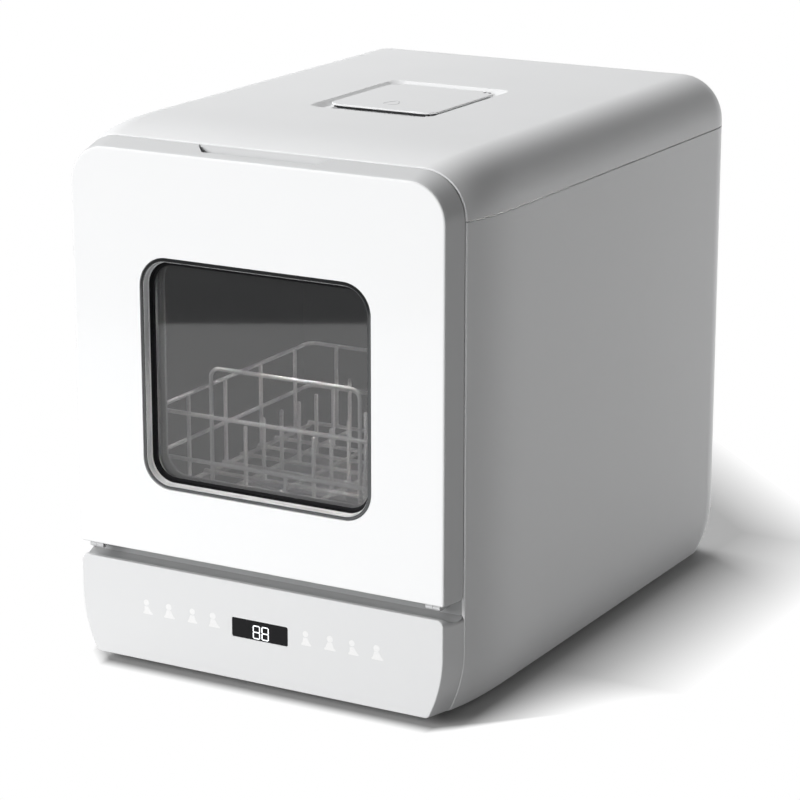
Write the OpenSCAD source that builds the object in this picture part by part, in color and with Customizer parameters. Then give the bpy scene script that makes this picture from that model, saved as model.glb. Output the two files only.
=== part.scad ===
// Countertop dishwasher with a drop-down window door and a top water inlet.
// Millimetres, +Z up, origin on the table under the middle of the machine.
// Every module is drawn with y = 0 at the door face and y growing to the back;
// place() then centres the machine and its spigots on the origin.

/* [Casing] */
// Widest width of the casing
body_w = 360; // [352:1:400]
// Depth from the door face to the back
body_d = 508; // [496:1:560]
// Height from the table to the top
body_h = 436; // [430:1:480]
// Thickness of the moulded casing walls
wall = 2.5; // [2:0.1:3]
// Radius of the long upper corners
crown_r = 37; // [32:1:42]
// How far each side narrows towards the door
front_in = 8; // [5:0.5:10]
// How far the top drops towards the door
front_drop = 6; // [4:0.5:9]
// Depth over which the casing narrows towards the door
swell_d = 90; // [60:1:120]
// Radius of the rounded back edges
rear_r = 51; // [40:1:60]
// Drop of the top at its rounded back edge
rear_drop = 41; // [34:1:42]
// Inset of the sides at their lower edge
belly_in = 13; // [8:1:18]
// Height of the curved lower part of the sides
belly_h = 52; // [40:1:64]
// Distance of the side seam below the top
seam_drop = 43; // [43:1:50]
// Height of the rubber feet
foot_h = 8; // [6:0.5:12]
// Radius of the rubber feet
foot_r = 13; // [10:0.5:16]
// Clearance between parts that are fixed to each other
fit = 0.3; // [0.2:0.05:0.4]

/* [Door] */
// Height of the door's lower edge above the table
door_z = 100; // [98:0.5:104]
// Corner radius of the door face
face_r = 30; // [24:1:34]
// Depth of the door's edge band
door_d = 21.5; // [20:0.5:24]
// How far the edge band flares outwards from the face
flare = 6; // [3:0.5:7]
// Step between the door's band and the casing's front edge
edge_step = 0.5; // [0.4:0.1:1.5]
// Gap between the closed door and the casing
door_gap = 1.2; // [1:0.1:2]
// Thickness of the glossy front panel
panel_t = 2.6; // [2:0.1:3]
// Width of the rim around the front panel
rim_w = 1.6; // [1.2:0.1:3]
// Wall thickness of the door mouldings
door_wall = 2.5; // [2:0.1:3]
// Width of the finger notch in the door's upper edge
notch_w = 117; // [90:1:140]
// Depth of the finger notch below the door's top
notch_h = 11; // [8:0.5:13]
// How far the finger notch reaches from the back of the band
notch_d = 12.5; // [10:0.5:14]
// How far the inner liner reaches into the tub mouth
plug_d = 7; // [5:0.5:8]
// Gap between the liner's plug and the tub mouth
plug_gap = 4; // [3:0.5:6]

/* [Window] */
// Width of the window bezel
win_w = 206; // [180:1:220]
// Height of the window bezel
win_h = 186; // [160:1:200]
// Corner radius of the window bezel
win_r = 24; // [18:1:30]
// Height of the window's middle above the door's lower edge
win_up = 148.5; // [140:0.5:156]
// Depth of the glass behind the face
glass_y = 10; // [8:0.5:11]
// Thickness of the window panes
glass_t = 3; // [2.5:0.1:4]
// Width of the bezel's bevelled rim at the face
bezel_rim = 2.2; // [2:0.1:3]
// Width of the bezel where it holds the glass
bezel_lip = 4.2; // [3.6:0.1:5]
// Depth of the groove round the bezel
bezel_groove = 1.2; // [0.8:0.1:1.6]

/* [Hinge] */
// Depth of the door's pivot behind the face
hinge_y = 7; // [6.6:0.1:7.2]
// Distance of the pivot below the door's lower edge
hinge_down = 3; // [2.8:0.1:3.2]
// Radius of the hinge pins
hinge_pin_r = 1.4; // [1.2:0.1:1.6]
// Radial play of the hinge pins and lid pin in their barrels
pin_play = 0.05; // [0.02:0.01:0.08]
// Width of each hinge barrel
barrel_w = 6; // [5:0.5:7]

/* [Control fascia] */
// Gap between the door's lower edge and the fascia
fascia_gap = 11; // [10.5:0.5:13]
// Thickness of the fascia's walls
fascia_wall = 3; // [2.5:0.1:3.5]
// Radius of the cove in the fascia's top
cove_r = 14; // [12:0.5:16]
// Width of the display window
display_w = 51.4; // [40:0.2:60]
// Height of the display window
display_h = 16; // [12:0.5:20]
// Height of the display's middle above the lower edge of the casing
display_up = 43.8; // [38:0.2:48]
// Distance of the display's middle to the right of the middle
display_x = 2.5; // [0:0.5:8]

/* [Tub] */
// Space between the tub and the widest casing on each side
side_space = 42; // [38:1:48]
// Space between the tub's ceiling and the top of the casing
top_space = 44; // [42:1:48]
// Depth of the tub behind the front frame
tub_d = 274; // [264:1:282]
// Thickness of the tub's sheet
sheet = 1.6; // [1.2:0.1:2]
// Thickness of the front frame
frame_t = 3; // [2.5:0.1:4]
// Height of the tub's floor above the table
floor_z = 98; // [96:0.5:99]
// Height of the mouth's sill above the tub's floor
sill_h = 16; // [14:0.5:18]
// Corner radius of the tub
tub_r = 20; // [14:1:26]
// Width of the door gasket
gasket_w = 8; // [6:0.5:9]

/* [Rack] */
// Radius of the rack's wires
wire_r = 1.7; // [1.4:0.1:2]
// Gap between the rack and each tub wall
rack_gap = 17; // [15:1:22]
// Height of the rack's grid above the tub's floor
rack_up = 34; // [32:0.5:38]
// Depth of the rack's front wall behind the face
rack_y = 42; // [40:0.5:46]
// Height of the rack's upper rail above its grid
rail_h = 74; // [66:1:80]
// Height of the lower rail above the grid
rail_low = 36; // [30:1:40]
// Half width of the raised loop in the rack's front
loop_half = 68; // [50:1:80]
// Height of the raised loop above the upper rail
loop_h = 40; // [30:1:50]
// Travel of the rack when the door is opened
rack_travel = 90; // [70:1:92]

/* [Wash system] */
// Depth of the spray arm's middle behind the front frame
spray_y = 138; // [134:1:142]
// Length of the spray arm from tip to tip
arm_l = 228; // [200:1:236]
// Radius of the spray arm's bearing tube
hub_r = 8; // [7:0.5:9]
// Radius of the sump
sump_r = 44; // [40:1:46]
// Radius of the filter cup
cup_r = 26; // [22:1:28]
// Radius of the wash pump's motor
motor_r = 27; // [24:1:29]

/* [Water inlet] */
// Width of the recess in the top
inlet_w = 112; // [106:1:118]
// Length of the recess in the top
inlet_l = 144; // [138:1:148]
// Distance of the recess behind the door face
inlet_y = 173; // [168:1:176]
// Width of the sloping border of the recess
inlet_slope = 8; // [7:0.5:9]
// Distance of the lid's surface below the top
inlet_dip = 0.5; // [0.3:0.1:1]
// Thickness of the lid
lid_t = 1.6; // [1.4:0.1:2.4]
// Distance of the lid behind the recess's front edge
scoop_l = 21; // [18:0.5:24]
// Depth of the finger scoop below the recess
scoop_h = 9; // [7:0.5:11]
// Radius of the lid's hinge barrel
lid_barrel_r = 2.2; // [2:0.1:2.4]

/* [Back] */
// Gap from the water tank to the fan behind it
tank_gap = 13.4; // [8:0.2:26]
// Room behind the drain hose's turn
drain_turn_gap = 61.5; // [50:0.5:62]
// Radius of the drying fan
fan_r = 32; // [26:1:34]
// Outer radius of the hose spigots at the back
spigot_r = 9; // [8:0.5:11]
// Length of the hose spigots outside the back
spigot_l = 18; // [14:0.5:22]

/* [Hidden] */

$fn = 48;
eps = 0.01;

white = "whitesmoke";
light = "gainsboro";
grey = "silver";
dark = "dimgray";
black = [0.12, 0.12, 0.13];
steel = [0.72, 0.73, 0.75];
rubber = [0.2, 0.2, 0.21];
glassy = [0.35, 0.38, 0.4, 0.45];

// Casing
half_max = body_w / 2;
casing_y = door_d + door_gap;
front_half = half_max - front_in;
front_top = body_h - front_drop;
seam_z = body_h - seam_drop;
seam_gap = 0.4;
belly_r = (belly_in * belly_in + belly_h * belly_h) / (2 * belly_in);
rear_half = half_max - rear_r;
crown_slim = 0.3;

// Door
band_half = front_half - edge_step;
band_top = front_top - edge_step;
face_half = band_half - flare;
face_top = band_top - flare;
foot_round = 3.5;
heel_r = 1.5;
win_z = door_z + win_up;
liner_y = door_d - door_wall;
plug_y = door_d + plug_d;
hinge_z = door_z - hinge_down;
barrel_r = hinge_down - fit - 0.1;
barrel_x = face_half - 11.5;

// Tub
tub_half = half_max - side_space;
tub_top = body_h - top_space;
frame_y = casing_y + fit;
tub_y = frame_y + frame_t;
tub_end = tub_y + tub_d;
sill_z = floor_z + sill_h;
fascia_top = door_z - fascia_gap;
fascia_d = casing_y - fit;

// Rack
rack_half = tub_half - rack_gap;
rack_z = floor_z + rack_up;
rack_end = tub_end - rack_gap;
rack_toe = 16;
rack_lift = 18;
weld = 1.5 * wire_r;
weld_gap = 0.1;
bend_r = 8;
cross_n = 8;

// Wash system
hub_y = tub_y + spray_y;
arm_z = floor_z + 10;
sump_x = 62;
sump_y = hub_y + 62;
sump_bottom = 44;

// Water inlet
lid_top = body_h - inlet_dip;
lid_back = inlet_y + inlet_l;
ledge_z = lid_top - lid_t - 0.7;
ledge_t = 2;
lid_pin_y = lid_back - inlet_slope - lid_barrel_r - 2;
lid_pin_z = lid_top - lid_barrel_r;
lid_pin_r = 1;
lid_half = inlet_w / 2 - inlet_slope - 1;
lid_front = inlet_y + scoop_l;
lid_ear_x = lid_half - 8.5;
lamp_x = 46;
lamp_y = tub_y + 12;

// Back
duct_half = 23;
duct_y = tub_end + sheet + fit;
fan_x = rear_half - fan_r - 11;
fan_z = seam_z - 93;
fan_y = body_d - 58;
tank_y = tub_end + sheet + 9;
tank_x = -half_max + 34;
tank_w = fan_x - duct_half - 4 - tank_x;
tank_z = floor_z + 14;
tank_d = fan_y - tank_gap - tank_y;
tank_top = tub_top + 6;
spigot_x = -88;
drain_z = sump_bottom + 14;
supply_z = foot_h + 90;
gland_x = 92;
gland_z = foot_h + 44;

// Moves the machine so that its box is centred over the origin.
module place() translate([0, -(body_d + spigot_l) / 2, 0]) children();

// Draws the children and their mirror image on the left.
module both_sides() {
    children();
    mirror([1, 0, 0]) children();
}

// A flat outline in x and z, given a thickness along y from y0.
module upright(y0, t) translate([0, y0 + t, 0]) rotate([90, 0, 0]) linear_extrude(t) children();

// A rectangle with true round corners, from its low corner to its high corner.
module round_rect(x0, z0, x1, z1, r) {
    translate([x0 + r, z0]) square([x1 - x0 - 2 * r, z1 - z0]);
    translate([x0, z0 + r]) square([x1 - x0, z1 - z0 - 2 * r]);
    for (x = [x0 + r, x1 - r], z = [z0 + r, z1 - r]) translate([x, z]) circle(r);
}

// The outline of the door: large upper corners, small lower ones.
module door_outline(half, low, top, r, heel) {
    hull() {
        for (s = [-1, 1]) {
            translate([s * (half - r), top - r]) circle(r, $fn = 40);
            translate([s * (half - heel), low + heel]) circle(heel, $fn = 12);
        }
    }
}

// A rod along x.
module rod_x(x0, x1, y, z, r) translate([x0, y, z]) rotate([0, 90, 0]) cylinder(h = x1 - x0, r = r);

// A rod along y.
module rod_y(x, y0, y1, z, r) translate([x, y0, z]) rotate([-90, 0, 0]) cylinder(h = y1 - y0, r = r);

// A rod along z.
module rod_z(x, y, z0, z1, r) translate([x, y, z0]) cylinder(h = z1 - z0, r = r);

// ---- Casing form ----

// Share of the full section reached at depth y behind the casing's front edge.
function swell(y) = y >= swell_d ? 1 : 1 - pow(1 - y / swell_d, 3);

// Stations of the loft: [depth, angle round the back edge].
stations = concat(
    [for (s = [0, 0.1, 0.22, 0.36, 0.54, 0.76, 1]) [casing_y + s * swell_d, 0]],
    [for (a = [0 : 15 : 90]) [body_d - rear_r, a]]);

function st_y(s, t) = s[1] == 0 ? s[0] : s[0] + (rear_r - t) * sin(s[1]);
function st_half(s, t) =
    half_max - t - front_in * (1 - swell(s[0] - casing_y)) - (rear_r - t) * (1 - cos(s[1]));
function st_top(s, t) =
    body_h - t - front_drop * (1 - swell(s[0] - casing_y)) - (rear_drop - t) * (1 - cos(s[1]));
function st_r(s, t) = crown_r - t - crown_slim * rear_r * (1 - cos(s[1]));

// Half width of the section at height z: crown above, straight side, curved lower part.
function side_x(s, z, t) =
    let (w = st_half(s, t), r = st_r(s, t), zc = st_top(s, t) - r, low = foot_h + belly_h)
    z > zc ? w - r + sqrt(max(0, r * r - (z - zc) * (z - zc)))
    : z < low ? w - belly_r + sqrt(belly_r * belly_r - (low - z) * (low - z))
    : w;

// Upper half of a section, from the right seam over the top to the left seam.
function crown_points(s, t, z_end) =
    let (w = st_half(s, t), r = st_r(s, t), top = st_top(s, t), zc = top - r,
         a0 = asin(min(0.98, max(0, (z_end + 0.8 - zc) / r))), n = 7,
         arc = [for (i = [0 : n]) let (a = a0 + (90 - a0) * i / n) [w - r + r * cos(a), zc + r * sin(a)]])
    concat([[side_x(s, z_end, t), z_end]], arc,
           [for (i = [n : -1 : 0]) [-arc[i][0], arc[i][1]]], [[-side_x(s, z_end, t), z_end]]);

// Side of a section, from the seam down to the lower edge.
function side_points(s, t, z_top) =
    let (low = foot_h + belly_h,
         zs = concat([for (k = [0, 7, 15, 26]) z_top - k], [low + 60],
                     [for (i = [0 : 5]) low - belly_h * i / 5]))
    [for (z = zs) [side_x(s, z, t), z]];

// A moulded skin between an outer and an inner surface that share one grid.
module skin(outer, inner) {
    m = len(outer);
    n = len(outer[0]);
    grid = m * n;
    pts = concat([for (row = outer) each row], [for (row = inner) each row]);
    faces = concat(
        [for (i = [0 : m - 2], j = [0 : n - 2]) let (a = i * n + j)
            each [[a, a + 1, a + n + 1], [a, a + n + 1, a + n]]],
        [for (i = [0 : m - 2], j = [0 : n - 2]) let (a = grid + i * n + j)
            each [[a, a + n + 1, a + 1], [a, a + n, a + n + 1]]],
        [for (i = [0 : m - 2]) let (a = i * n, b = grid + a) each [[a, a + n, b + n], [a, b + n, b]]],
        [for (i = [0 : m - 2]) let (a = i * n + n - 1, b = grid + a) each [[a, b, b + n], [a, b + n, a + n]]],
        [for (j = [0 : n - 2]) let (a = j, b = grid + a) each [[a, b, b + 1], [a, b + 1, a + 1]]],
        [for (j = [0 : n - 2]) let (a = (m - 1) * n + j, b = grid + a)
            each [[a, a + 1, b + 1], [a, b + 1, b]]]);
    polyhedron(points = pts, faces = faces);
}

function crown_grid(t, z_end) =
    [for (s = stations) [for (p = crown_points(s, t, z_end)) [p[0], st_y(s, t), p[1]]]];
function side_grid(t, z_top) = [for (s = stations) let (p = side_points(s, t, z_top))
    [for (i = [len(p) - 1 : -1 : 0]) [p[i][0], st_y(s, t), p[i][1]]]];

// Plan outline of what lies inside the casing at height z, from depth y0 to the back.
module inside_plan(z, gap) {
    right = [for (s = stations) [side_x(s, z, wall + gap), st_y(s, wall + gap)]];
    left = [for (i = [len(right) - 1 : -1 : 0]) [-right[i][0], right[i][1]]];
    polygon(concat(right, left));
}

// ---- Casing parts ----

// The recess round the lid: its border slopes down to the ledge. Grown by a wall, it is the tray.
module inlet_recess(grow) {
    g = inlet_w / 2 + grow;
    b = inlet_w / 2 - inlet_slope + grow;
    top = grow > 0 ? body_h - 1 : body_h;
    hull() {
        translate([0, 0, top]) linear_extrude(grow > 0 ? eps : 1)
            round_rect(-g, inlet_y - grow, g, lid_back + grow, 11 + grow);
        translate([0, 0, ledge_z - (grow > 0 ? ledge_t : 0)]) linear_extrude(eps)
            round_rect(-b, inlet_y + inlet_slope - grow, b, lid_back - inlet_slope + grow, 6 + grow);
    }
}

// The finger scoop in front of the lid. Grown by a wall, it is the scoop's outside.
module inlet_scoop(grow) {
    w = lid_half - 3 + grow;
    hull() {
        translate([-w, inlet_y + 4 - grow, body_h - 1])
            cube([2 * w, scoop_l - 2 + 2 * grow, grow > 0 ? eps : 2]);
        translate([4 - w, lid_front - 6 - grow, ledge_z - scoop_h - grow])
            cube([2 * w - 8, 10 + 2 * grow, grow > 0 ? wall : eps]);
    }
}

module top_cover() color(white) place() difference() {
    union() {
        difference() {
            union() {
                skin(crown_grid(0, seam_z), crown_grid(wall, seam_z));
                inlet_recess(wall);
                inlet_scoop(wall);
            }
            inlet_recess(0);
            inlet_scoop(0);
            // Opening over the funnel
            translate([13 - lid_half, lid_front + 12, ledge_z - 5])
                cube([2 * lid_half - 26, lid_pin_y - 20 - lid_front, 6]);
            // Slot under the lid's barrel
            translate([-lid_ear_x, lid_pin_y - 4, ledge_z - 5]) cube([2 * lid_ear_x, 8, 6]);
        }
        // Ears that hold the lid's pin
        both_sides() translate([lid_ear_x, lid_pin_y - 4, ledge_z - ledge_t])
            cube([3, 4 + lid_barrel_r + 0.5, lid_pin_z + 1.6 - ledge_z + ledge_t]);
    }
    rod_x(-lid_ear_x - 3.4, lid_ear_x + 3.4, lid_pin_y, lid_pin_z, lid_pin_r + 0.02);
}

module side_panel() skin(side_grid(0, seam_z - seam_gap), side_grid(wall, seam_z - seam_gap));

module side_panel_right() color(light) place() side_panel();

module side_panel_left() color(light) place() mirror([1, 0, 0]) side_panel();

// Outline of the back between the side panels, shrunk by inset.
module rear_outline(inset) {
    s = stations[len(stations) - 1];
    right = [for (p = side_points(s, 0, seam_z - seam_gap - inset))
        [p[0] - inset, max(p[1], foot_h + inset)]];
    polygon(concat(right, [for (i = [len(right) - 1 : -1 : 0]) [-right[i][0], right[i][1]]]));
}

module rear_cover() color(light) place() {
    half = rear_half - fit;
    difference() {
        union() {
            upright(body_d - wall, wall) rear_outline(fit);
            // Stiffening frame on the inside
            upright(body_d - wall - 6, 6 + eps) difference() {
                rear_outline(4);
                rear_outline(6.5);
            }
        }
        // Louvres over the drying fan
        for (i = [0 : 8]) upright(body_d - wall - 1, wall + 2)
            translate([fan_x - 28, fan_z - 26 + i * 6.5 - 1.6]) round_rect(0, 0, 56, 3.2, 1.5);
        // Lower cooling slots
        for (i = [0 : 6]) upright(body_d - wall - 1, wall + 2)
            translate([-30 + i * 14 - 2, foot_h + 24]) round_rect(0, 0, 4, 40, 1.9);
        for (z = [drain_z, supply_z]) rod_y(spigot_x, body_d - 20, body_d + 1, z, spigot_r + 3 + fit);
        rod_y(gland_x, body_d - 20, body_d + 1, gland_z, 9 + fit);
        for (x = [-1, 1], z = [foot_h + 24, seam_z - 20])
            rod_y(x * (half - 12), body_d - wall - 1, body_d + 1, z, 1.8);
    }
}

module base_tray() color(grey) place() {
    difference() {
        union() {
            hull() {
                translate([0, 0, foot_h]) linear_extrude(eps) inside_plan(foot_h, fit);
                translate([0, 0, foot_h + wall - eps]) linear_extrude(eps) inside_plan(foot_h + wall, fit);
            }
            // Ribs along and across the floor
            for (x = [-130, 0, 130]) translate([x - 1, 60, foot_h + wall - eps]) cube([2, body_d - 130, 7]);
            for (y = [70, body_d - 90]) translate([-130, y, foot_h + wall - eps]) cube([260, 2, 7]);
            // Posts under the water tank
            for (x = [tank_x + 14, tank_x + tank_w - 30], y = [tank_y + 12, tank_y + tank_d - 12])
                rod_z(x, y, foot_h + wall - eps, tank_z, 6);
        }
        for (i = [0 : 7]) translate([-70 + i * 20, body_d - 70, foot_h - 1]) cube([8, 40, 5]);
    }
}

foot_x = half_max - belly_in - 42;
foot_ys = [62, body_d - 62];

module feet() color(rubber) place()
    for (x = [-foot_x, foot_x], y = foot_ys) translate([x, y, 0]) difference() {
        rotate_extrude() polygon([[0, 0], [foot_r - 1, 0], [foot_r, 1], [foot_r - 1.5, foot_h], [0, foot_h]]);
        translate([0, 0, -eps]) cylinder(h = 2, r = foot_r / 2);
    }

module front_frame() color(light) place() {
    half = front_half - wall - fit;
    top = front_top - wall - fit;
    upright(frame_y, frame_t) difference() {
        union() {
            door_outline(half, fascia_top - 2, top, crown_r - wall - fit, 2);
            // Legs down to the base tray
            for (s = [-1, 1]) translate([s * (tub_half - 14) - 14, foot_h + wall]) square([28, fascia_top]);
        }
        round_rect(-tub_half, sill_z, tub_half, tub_top, tub_r);
        // Slot for the door's strike
        translate([-11, tub_top + 8]) square([22, 13]);
        // Hole of the door switch
        translate([19, strike_z - 2]) square([5, 4]);
    }
}

// ---- Control fascia ----

// Front view of the lower casing: straight sides, curved lower corners.
module fascia_outline(half, low, top, heel) {
    bottom_half = half - belly_in;
    side = [for (i = [0 : 6]) let (z = low + belly_h * i / 6, d = belly_h * (1 - i / 6))
        [half - belly_r + sqrt(belly_r * belly_r - d * d), z]];
    polygon(concat([[-bottom_half, low], [bottom_half - heel, low]],
        [for (p = side) if (p[1] > low + heel / 2) p],
        [[half, top - heel], [half - heel / 3, top - heel / 3], [half - heel, top],
         [-half + heel, top], [-half + heel / 3, top - heel / 3], [-half, top - heel]],
        [for (i = [6 : -1 : 0]) if (side[i][1] > low + heel / 2) [-side[i][0], side[i][1]]]));
}

module fascia_block(inset, y0, y1) {
    hull() {
        upright(y0, eps) fascia_outline(face_half - inset, foot_h + inset, fascia_top - inset, 3);
        upright(y1 - eps, eps) fascia_outline(band_half - inset, foot_h + inset, fascia_top - inset, 3);
    }
}

module control_fascia() color(white) place() {
    difference() {
        fascia_block(0, 0, fascia_d);
        difference() {
            fascia_block(fascia_wall, fascia_wall, fascia_d + 1);
            // Material under the cove
            translate([-half_max, -1, fascia_top - 9]) cube([body_w, door_d + 3, 20]);
        }
        // Cove under the door
        rod_x(-half_max, half_max, cove_r, fascia_top + cove_r - 4.5, cove_r);
        // Seat of the display
        upright(-1, fascia_wall + 2) translate([display_x, foot_h + display_up])
            round_rect(-display_w / 2, -display_h / 2, display_w / 2, display_h / 2, 1.6);
    }
}

module display_window() color(black) place() {
    upright(0.1, fascia_wall + 1.4) translate([display_x, foot_h + display_up])
        offset(delta = -0.15) round_rect(-display_w / 2, -display_h / 2, display_w / 2, display_h / 2, 1.65);
    upright(fascia_wall + fit, 1.2) translate([display_x, foot_h + display_up])
        round_rect(-display_w / 2 - 3, -display_h / 2 - 3, display_w / 2 + 3, display_h / 2 + 3, 2);
}

module control_board() color("darkgreen") place() {
    y0 = fascia_wall + 1.5 + 2 * fit;
    upright(y0, 1.6) difference() {
        round_rect(-122, foot_h + 22, 122, foot_h + 62, 2);
        for (x = [-116, 116], z = [27, 57]) translate([x, foot_h + z]) circle(1.6);
    }
    // Touch springs behind the keys and the driver parts
    for (s = [-1, 1], i = [0 : 3])
        rod_y(display_x + s * (42.5 + i * 21), fascia_wall + 0.5, y0 + eps, foot_h + 45, 4);
    translate([-12, y0 + 1.6 - eps, foot_h + 30]) cube([24, 3, 24]);
    translate([60, y0 + 1.6 - eps, foot_h + 28]) cube([20, 6, 12]);
    for (x = [-90, -76, -62]) rod_y(x, y0 + 1.6 - eps, y0 + 9, foot_h + 38, 4.5);
    // Standoffs to the fascia
    for (x = [-116, 116], z = [27, 57]) difference() {
        rod_y(x, fascia_wall + 0.1, y0 + eps, foot_h + z, 3.5);
        rod_y(x, fascia_wall, y0 + 3, foot_h + z, 1.6);
    }
}

// ---- Door hinge ----

module hinge_bracket() {
    x0 = barrel_x + fit;
    difference() {
        union() {
            rod_x(x0, x0 + barrel_w, hinge_y, hinge_z, barrel_r);
            translate([x0, hinge_y, hinge_z - barrel_r])
                cube([barrel_w, frame_y - fit - hinge_y, 2 * barrel_r]);
        }
        rod_x(x0 - 1, x0 + barrel_w + 1, hinge_y, hinge_z, hinge_pin_r + 0.02);
    }
}

module hinge_bracket_right() color(grey) place() hinge_bracket();

module hinge_bracket_left() color(grey) place() mirror([1, 0, 0]) hinge_bracket();

module hinge_pins() color(steel) place() both_sides()
    rod_x(barrel_x - barrel_w + 1, barrel_x + barrel_w, hinge_y, hinge_z, hinge_pin_r);

module door_hinge_arms() color(grey) place() both_sides() {
    difference() {
        union() {
            rod_x(barrel_x - barrel_w, barrel_x, hinge_y, hinge_z, barrel_r);
            translate([barrel_x - barrel_w, hinge_y - barrel_r, hinge_z])
                cube([barrel_w, 2 * barrel_r, hinge_down - fit / 2]);
        }
        rod_x(barrel_x - barrel_w - 1, barrel_x + 1, hinge_y, hinge_z, hinge_pin_r + pin_play);
    }
}

// ---- Door ----

// The flared block of the door, shrunk by inset; its lower back edge is rounded.
module door_block(inset, y0, y1) {
    hull() {
        upright(y0, eps)
            door_outline(face_half - inset, door_z + inset, face_top - inset, face_r - inset, heel_r);
        upright(door_d - foot_round, eps)
            door_outline(band_half - flare * foot_round / door_d - inset, door_z + inset,
                         band_top - flare * foot_round / door_d - inset, face_r + flare - inset, heel_r);
        upright(y1 - eps, eps)
            door_outline(band_half - inset, door_z + foot_round * 0.8 + inset, band_top - inset,
                         face_r + flare - inset, heel_r);
    }
}

module window_outline(grow) translate([0, win_z])
    round_rect(-win_w / 2 - grow, -win_h / 2 - grow, win_w / 2 + grow, win_h / 2 + grow, win_r + grow);

// Block of material round the finger notch.
module notch_block() {
    half = notch_w / 2 + door_wall;
    translate([-half, door_d - notch_d - door_wall, band_top - notch_h - door_wall])
        cube([2 * half, notch_d + door_wall + 1, 40]);
}

// The scooped finger notch: its back slopes up to the back edge of the band, and its ends are slanted.
module notch_pocket() {
    y0 = door_d - notch_d;
    low = notch_w / 2 - 9;
    hull() {
        translate([2 - low, y0 + 1, band_top - notch_h]) cube([2 * low - 4, 6, eps]);
        translate([0, 0, band_top + 1]) linear_extrude(eps)
            polygon([[-low, y0], [low, y0], [notch_w / 2, door_d - 3], [notch_w / 2, door_d - 0.9],
                     [-notch_w / 2, door_d - 0.9], [-notch_w / 2, door_d - 3]]);
    }
}

module door_frame() color(light) place() {
    front_wall = panel_t + fit + door_wall;
    difference() {
        union() {
            difference() {
                door_block(0, 0, door_d);
                difference() {
                    door_block(door_wall, front_wall, door_d + 1);
                    // Material around the finger notch
                    notch_block();
                }
            }
        }
        // Seat of the front panel
        upright(-1, 1 + panel_t + fit)
            door_outline(face_half - rim_w, door_z + rim_w, face_top - rim_w, face_r - rim_w, heel_r);
        upright(-1, door_d + 2) window_outline(fit);
        notch_pocket();
    }
}

module door_front_panel() color("white") place() {
    gap = rim_w + 0.2;
    upright(0, panel_t) difference() {
        door_outline(face_half - gap, door_z + gap, face_top - gap, face_r - gap, heel_r);
        window_outline(fit);
    }
}

module window_bezel() color(light) place() difference() {
    union() {
        // Bevelled rim that rises out of its groove to the face
        hull() {
            upright(0, eps) window_outline(0.3 - bezel_rim);
            upright(bezel_groove, eps) window_outline(0);
        }
        upright(bezel_groove, liner_y - fit - bezel_groove) window_outline(0);
    }
    // Sloping reveal in front of the glass
    hull() {
        upright(-eps, eps) window_outline(-bezel_rim);
        upright(glass_y, eps) window_outline(-bezel_lip);
    }
    // Seat of the glass, open to the back
    upright(glass_y, door_d) window_outline(-1.8);
}

module window_glass() color(glassy) place() upright(glass_y + 0.05, glass_t) window_outline(-1.8 - fit);

module inner_glass() color(glassy) place()
    upright(plug_y - door_wall - glass_t - 0.05, glass_t) window_outline(3);

module plug_outline(inset) {
    g = plug_gap + inset;
    round_rect(-tub_half + g, sill_z + g, tub_half - g, tub_top - g, tub_r - plug_gap);
}

module door_liner() color(grey) place() {
    half = face_half + flare * liner_y / door_d - door_wall - fit;
    difference() {
        union() {
            upright(liner_y, door_wall - fit) difference() {
                door_outline(half, door_z + door_wall + foot_round, band_top - notch_h - door_wall - 2,
                             face_r + flare - door_wall, 2);
                plug_outline(door_wall);
            }
            upright(liner_y, plug_y - liner_y) difference() {
                plug_outline(0);
                plug_outline(door_wall);
            }
            // Ring around the window on the inner face
            upright(plug_y - door_wall, door_wall) difference() {
                plug_outline(1);
                window_outline(-4);
            }
        }
        // Clip rails of the inner glass keep it from the plug's wall
        upright(plug_y - door_wall - glass_t - 0.05, glass_t + 0.05) window_outline(3 + fit);
    }
    // Rails that press the inner glass to the ring
    for (s = [-1, 1]) upright(liner_y + 0.5, plug_y - door_wall - glass_t - fit - liner_y - 0.5)
        translate([s * (win_w / 2 + 1) - 2, win_z - win_h / 2]) square([4, win_h]);
    both_sides() upright(liner_y, 1.5) translate([win_w / 2 - 1, win_z - 8])
        square([tub_half - plug_gap - door_wall - win_w / 2 + 1.5, 16]);
}

module door_gasket() color(rubber) place() {
    upright(casing_y - door_gap + 0.4, frame_y - casing_y + door_gap - 0.4 - 0.02) difference() {
        round_rect(-tub_half - gasket_w, sill_z - gasket_w, tub_half + gasket_w, tub_top + gasket_w - 1,
                   tub_r + gasket_w);
        round_rect(-tub_half - 1, sill_z - 1, tub_half + 1, tub_top + 1, tub_r + 1);
    }
}

strike_z = tub_top + 11;
strike_tip = 15;

module door_strike() color(steel) place() {
    // Foot on the back of the liner, and the hook
    upright(door_d - fit + 0.02, 1) translate([-9, strike_z - 4]) square([18, 10]);
    difference() {
        translate([-7, door_d - fit + 0.5, strike_z]) cube([14, strike_tip, 2.4]);
        translate([-4, door_d + 7, strike_z - 1]) cube([8, 5, 5]);
    }
}

module latch_housing() color(dark) place() {
    y0 = tub_y + 0.05;
    difference() {
        translate([-16, y0, strike_z - 5]) cube([32, 22, 22]);
        // Throat of the strike
        translate([-9, y0 - 1, strike_z - 2.2]) cube([18, strike_tip + 1, 8.4]);
        // Guide of the plunger
        rod_z(0, door_d + 9.5, strike_z + 5, strike_z + 15.8, 3.08);
    }
}

module latch_plunger() color(steel) place()
    translate([0, door_d + 9.5, strike_z + 4.5]) {
        cylinder(h = 7, r = 3);
        cylinder(h = 9.5, r = 1.4);
    }

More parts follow.
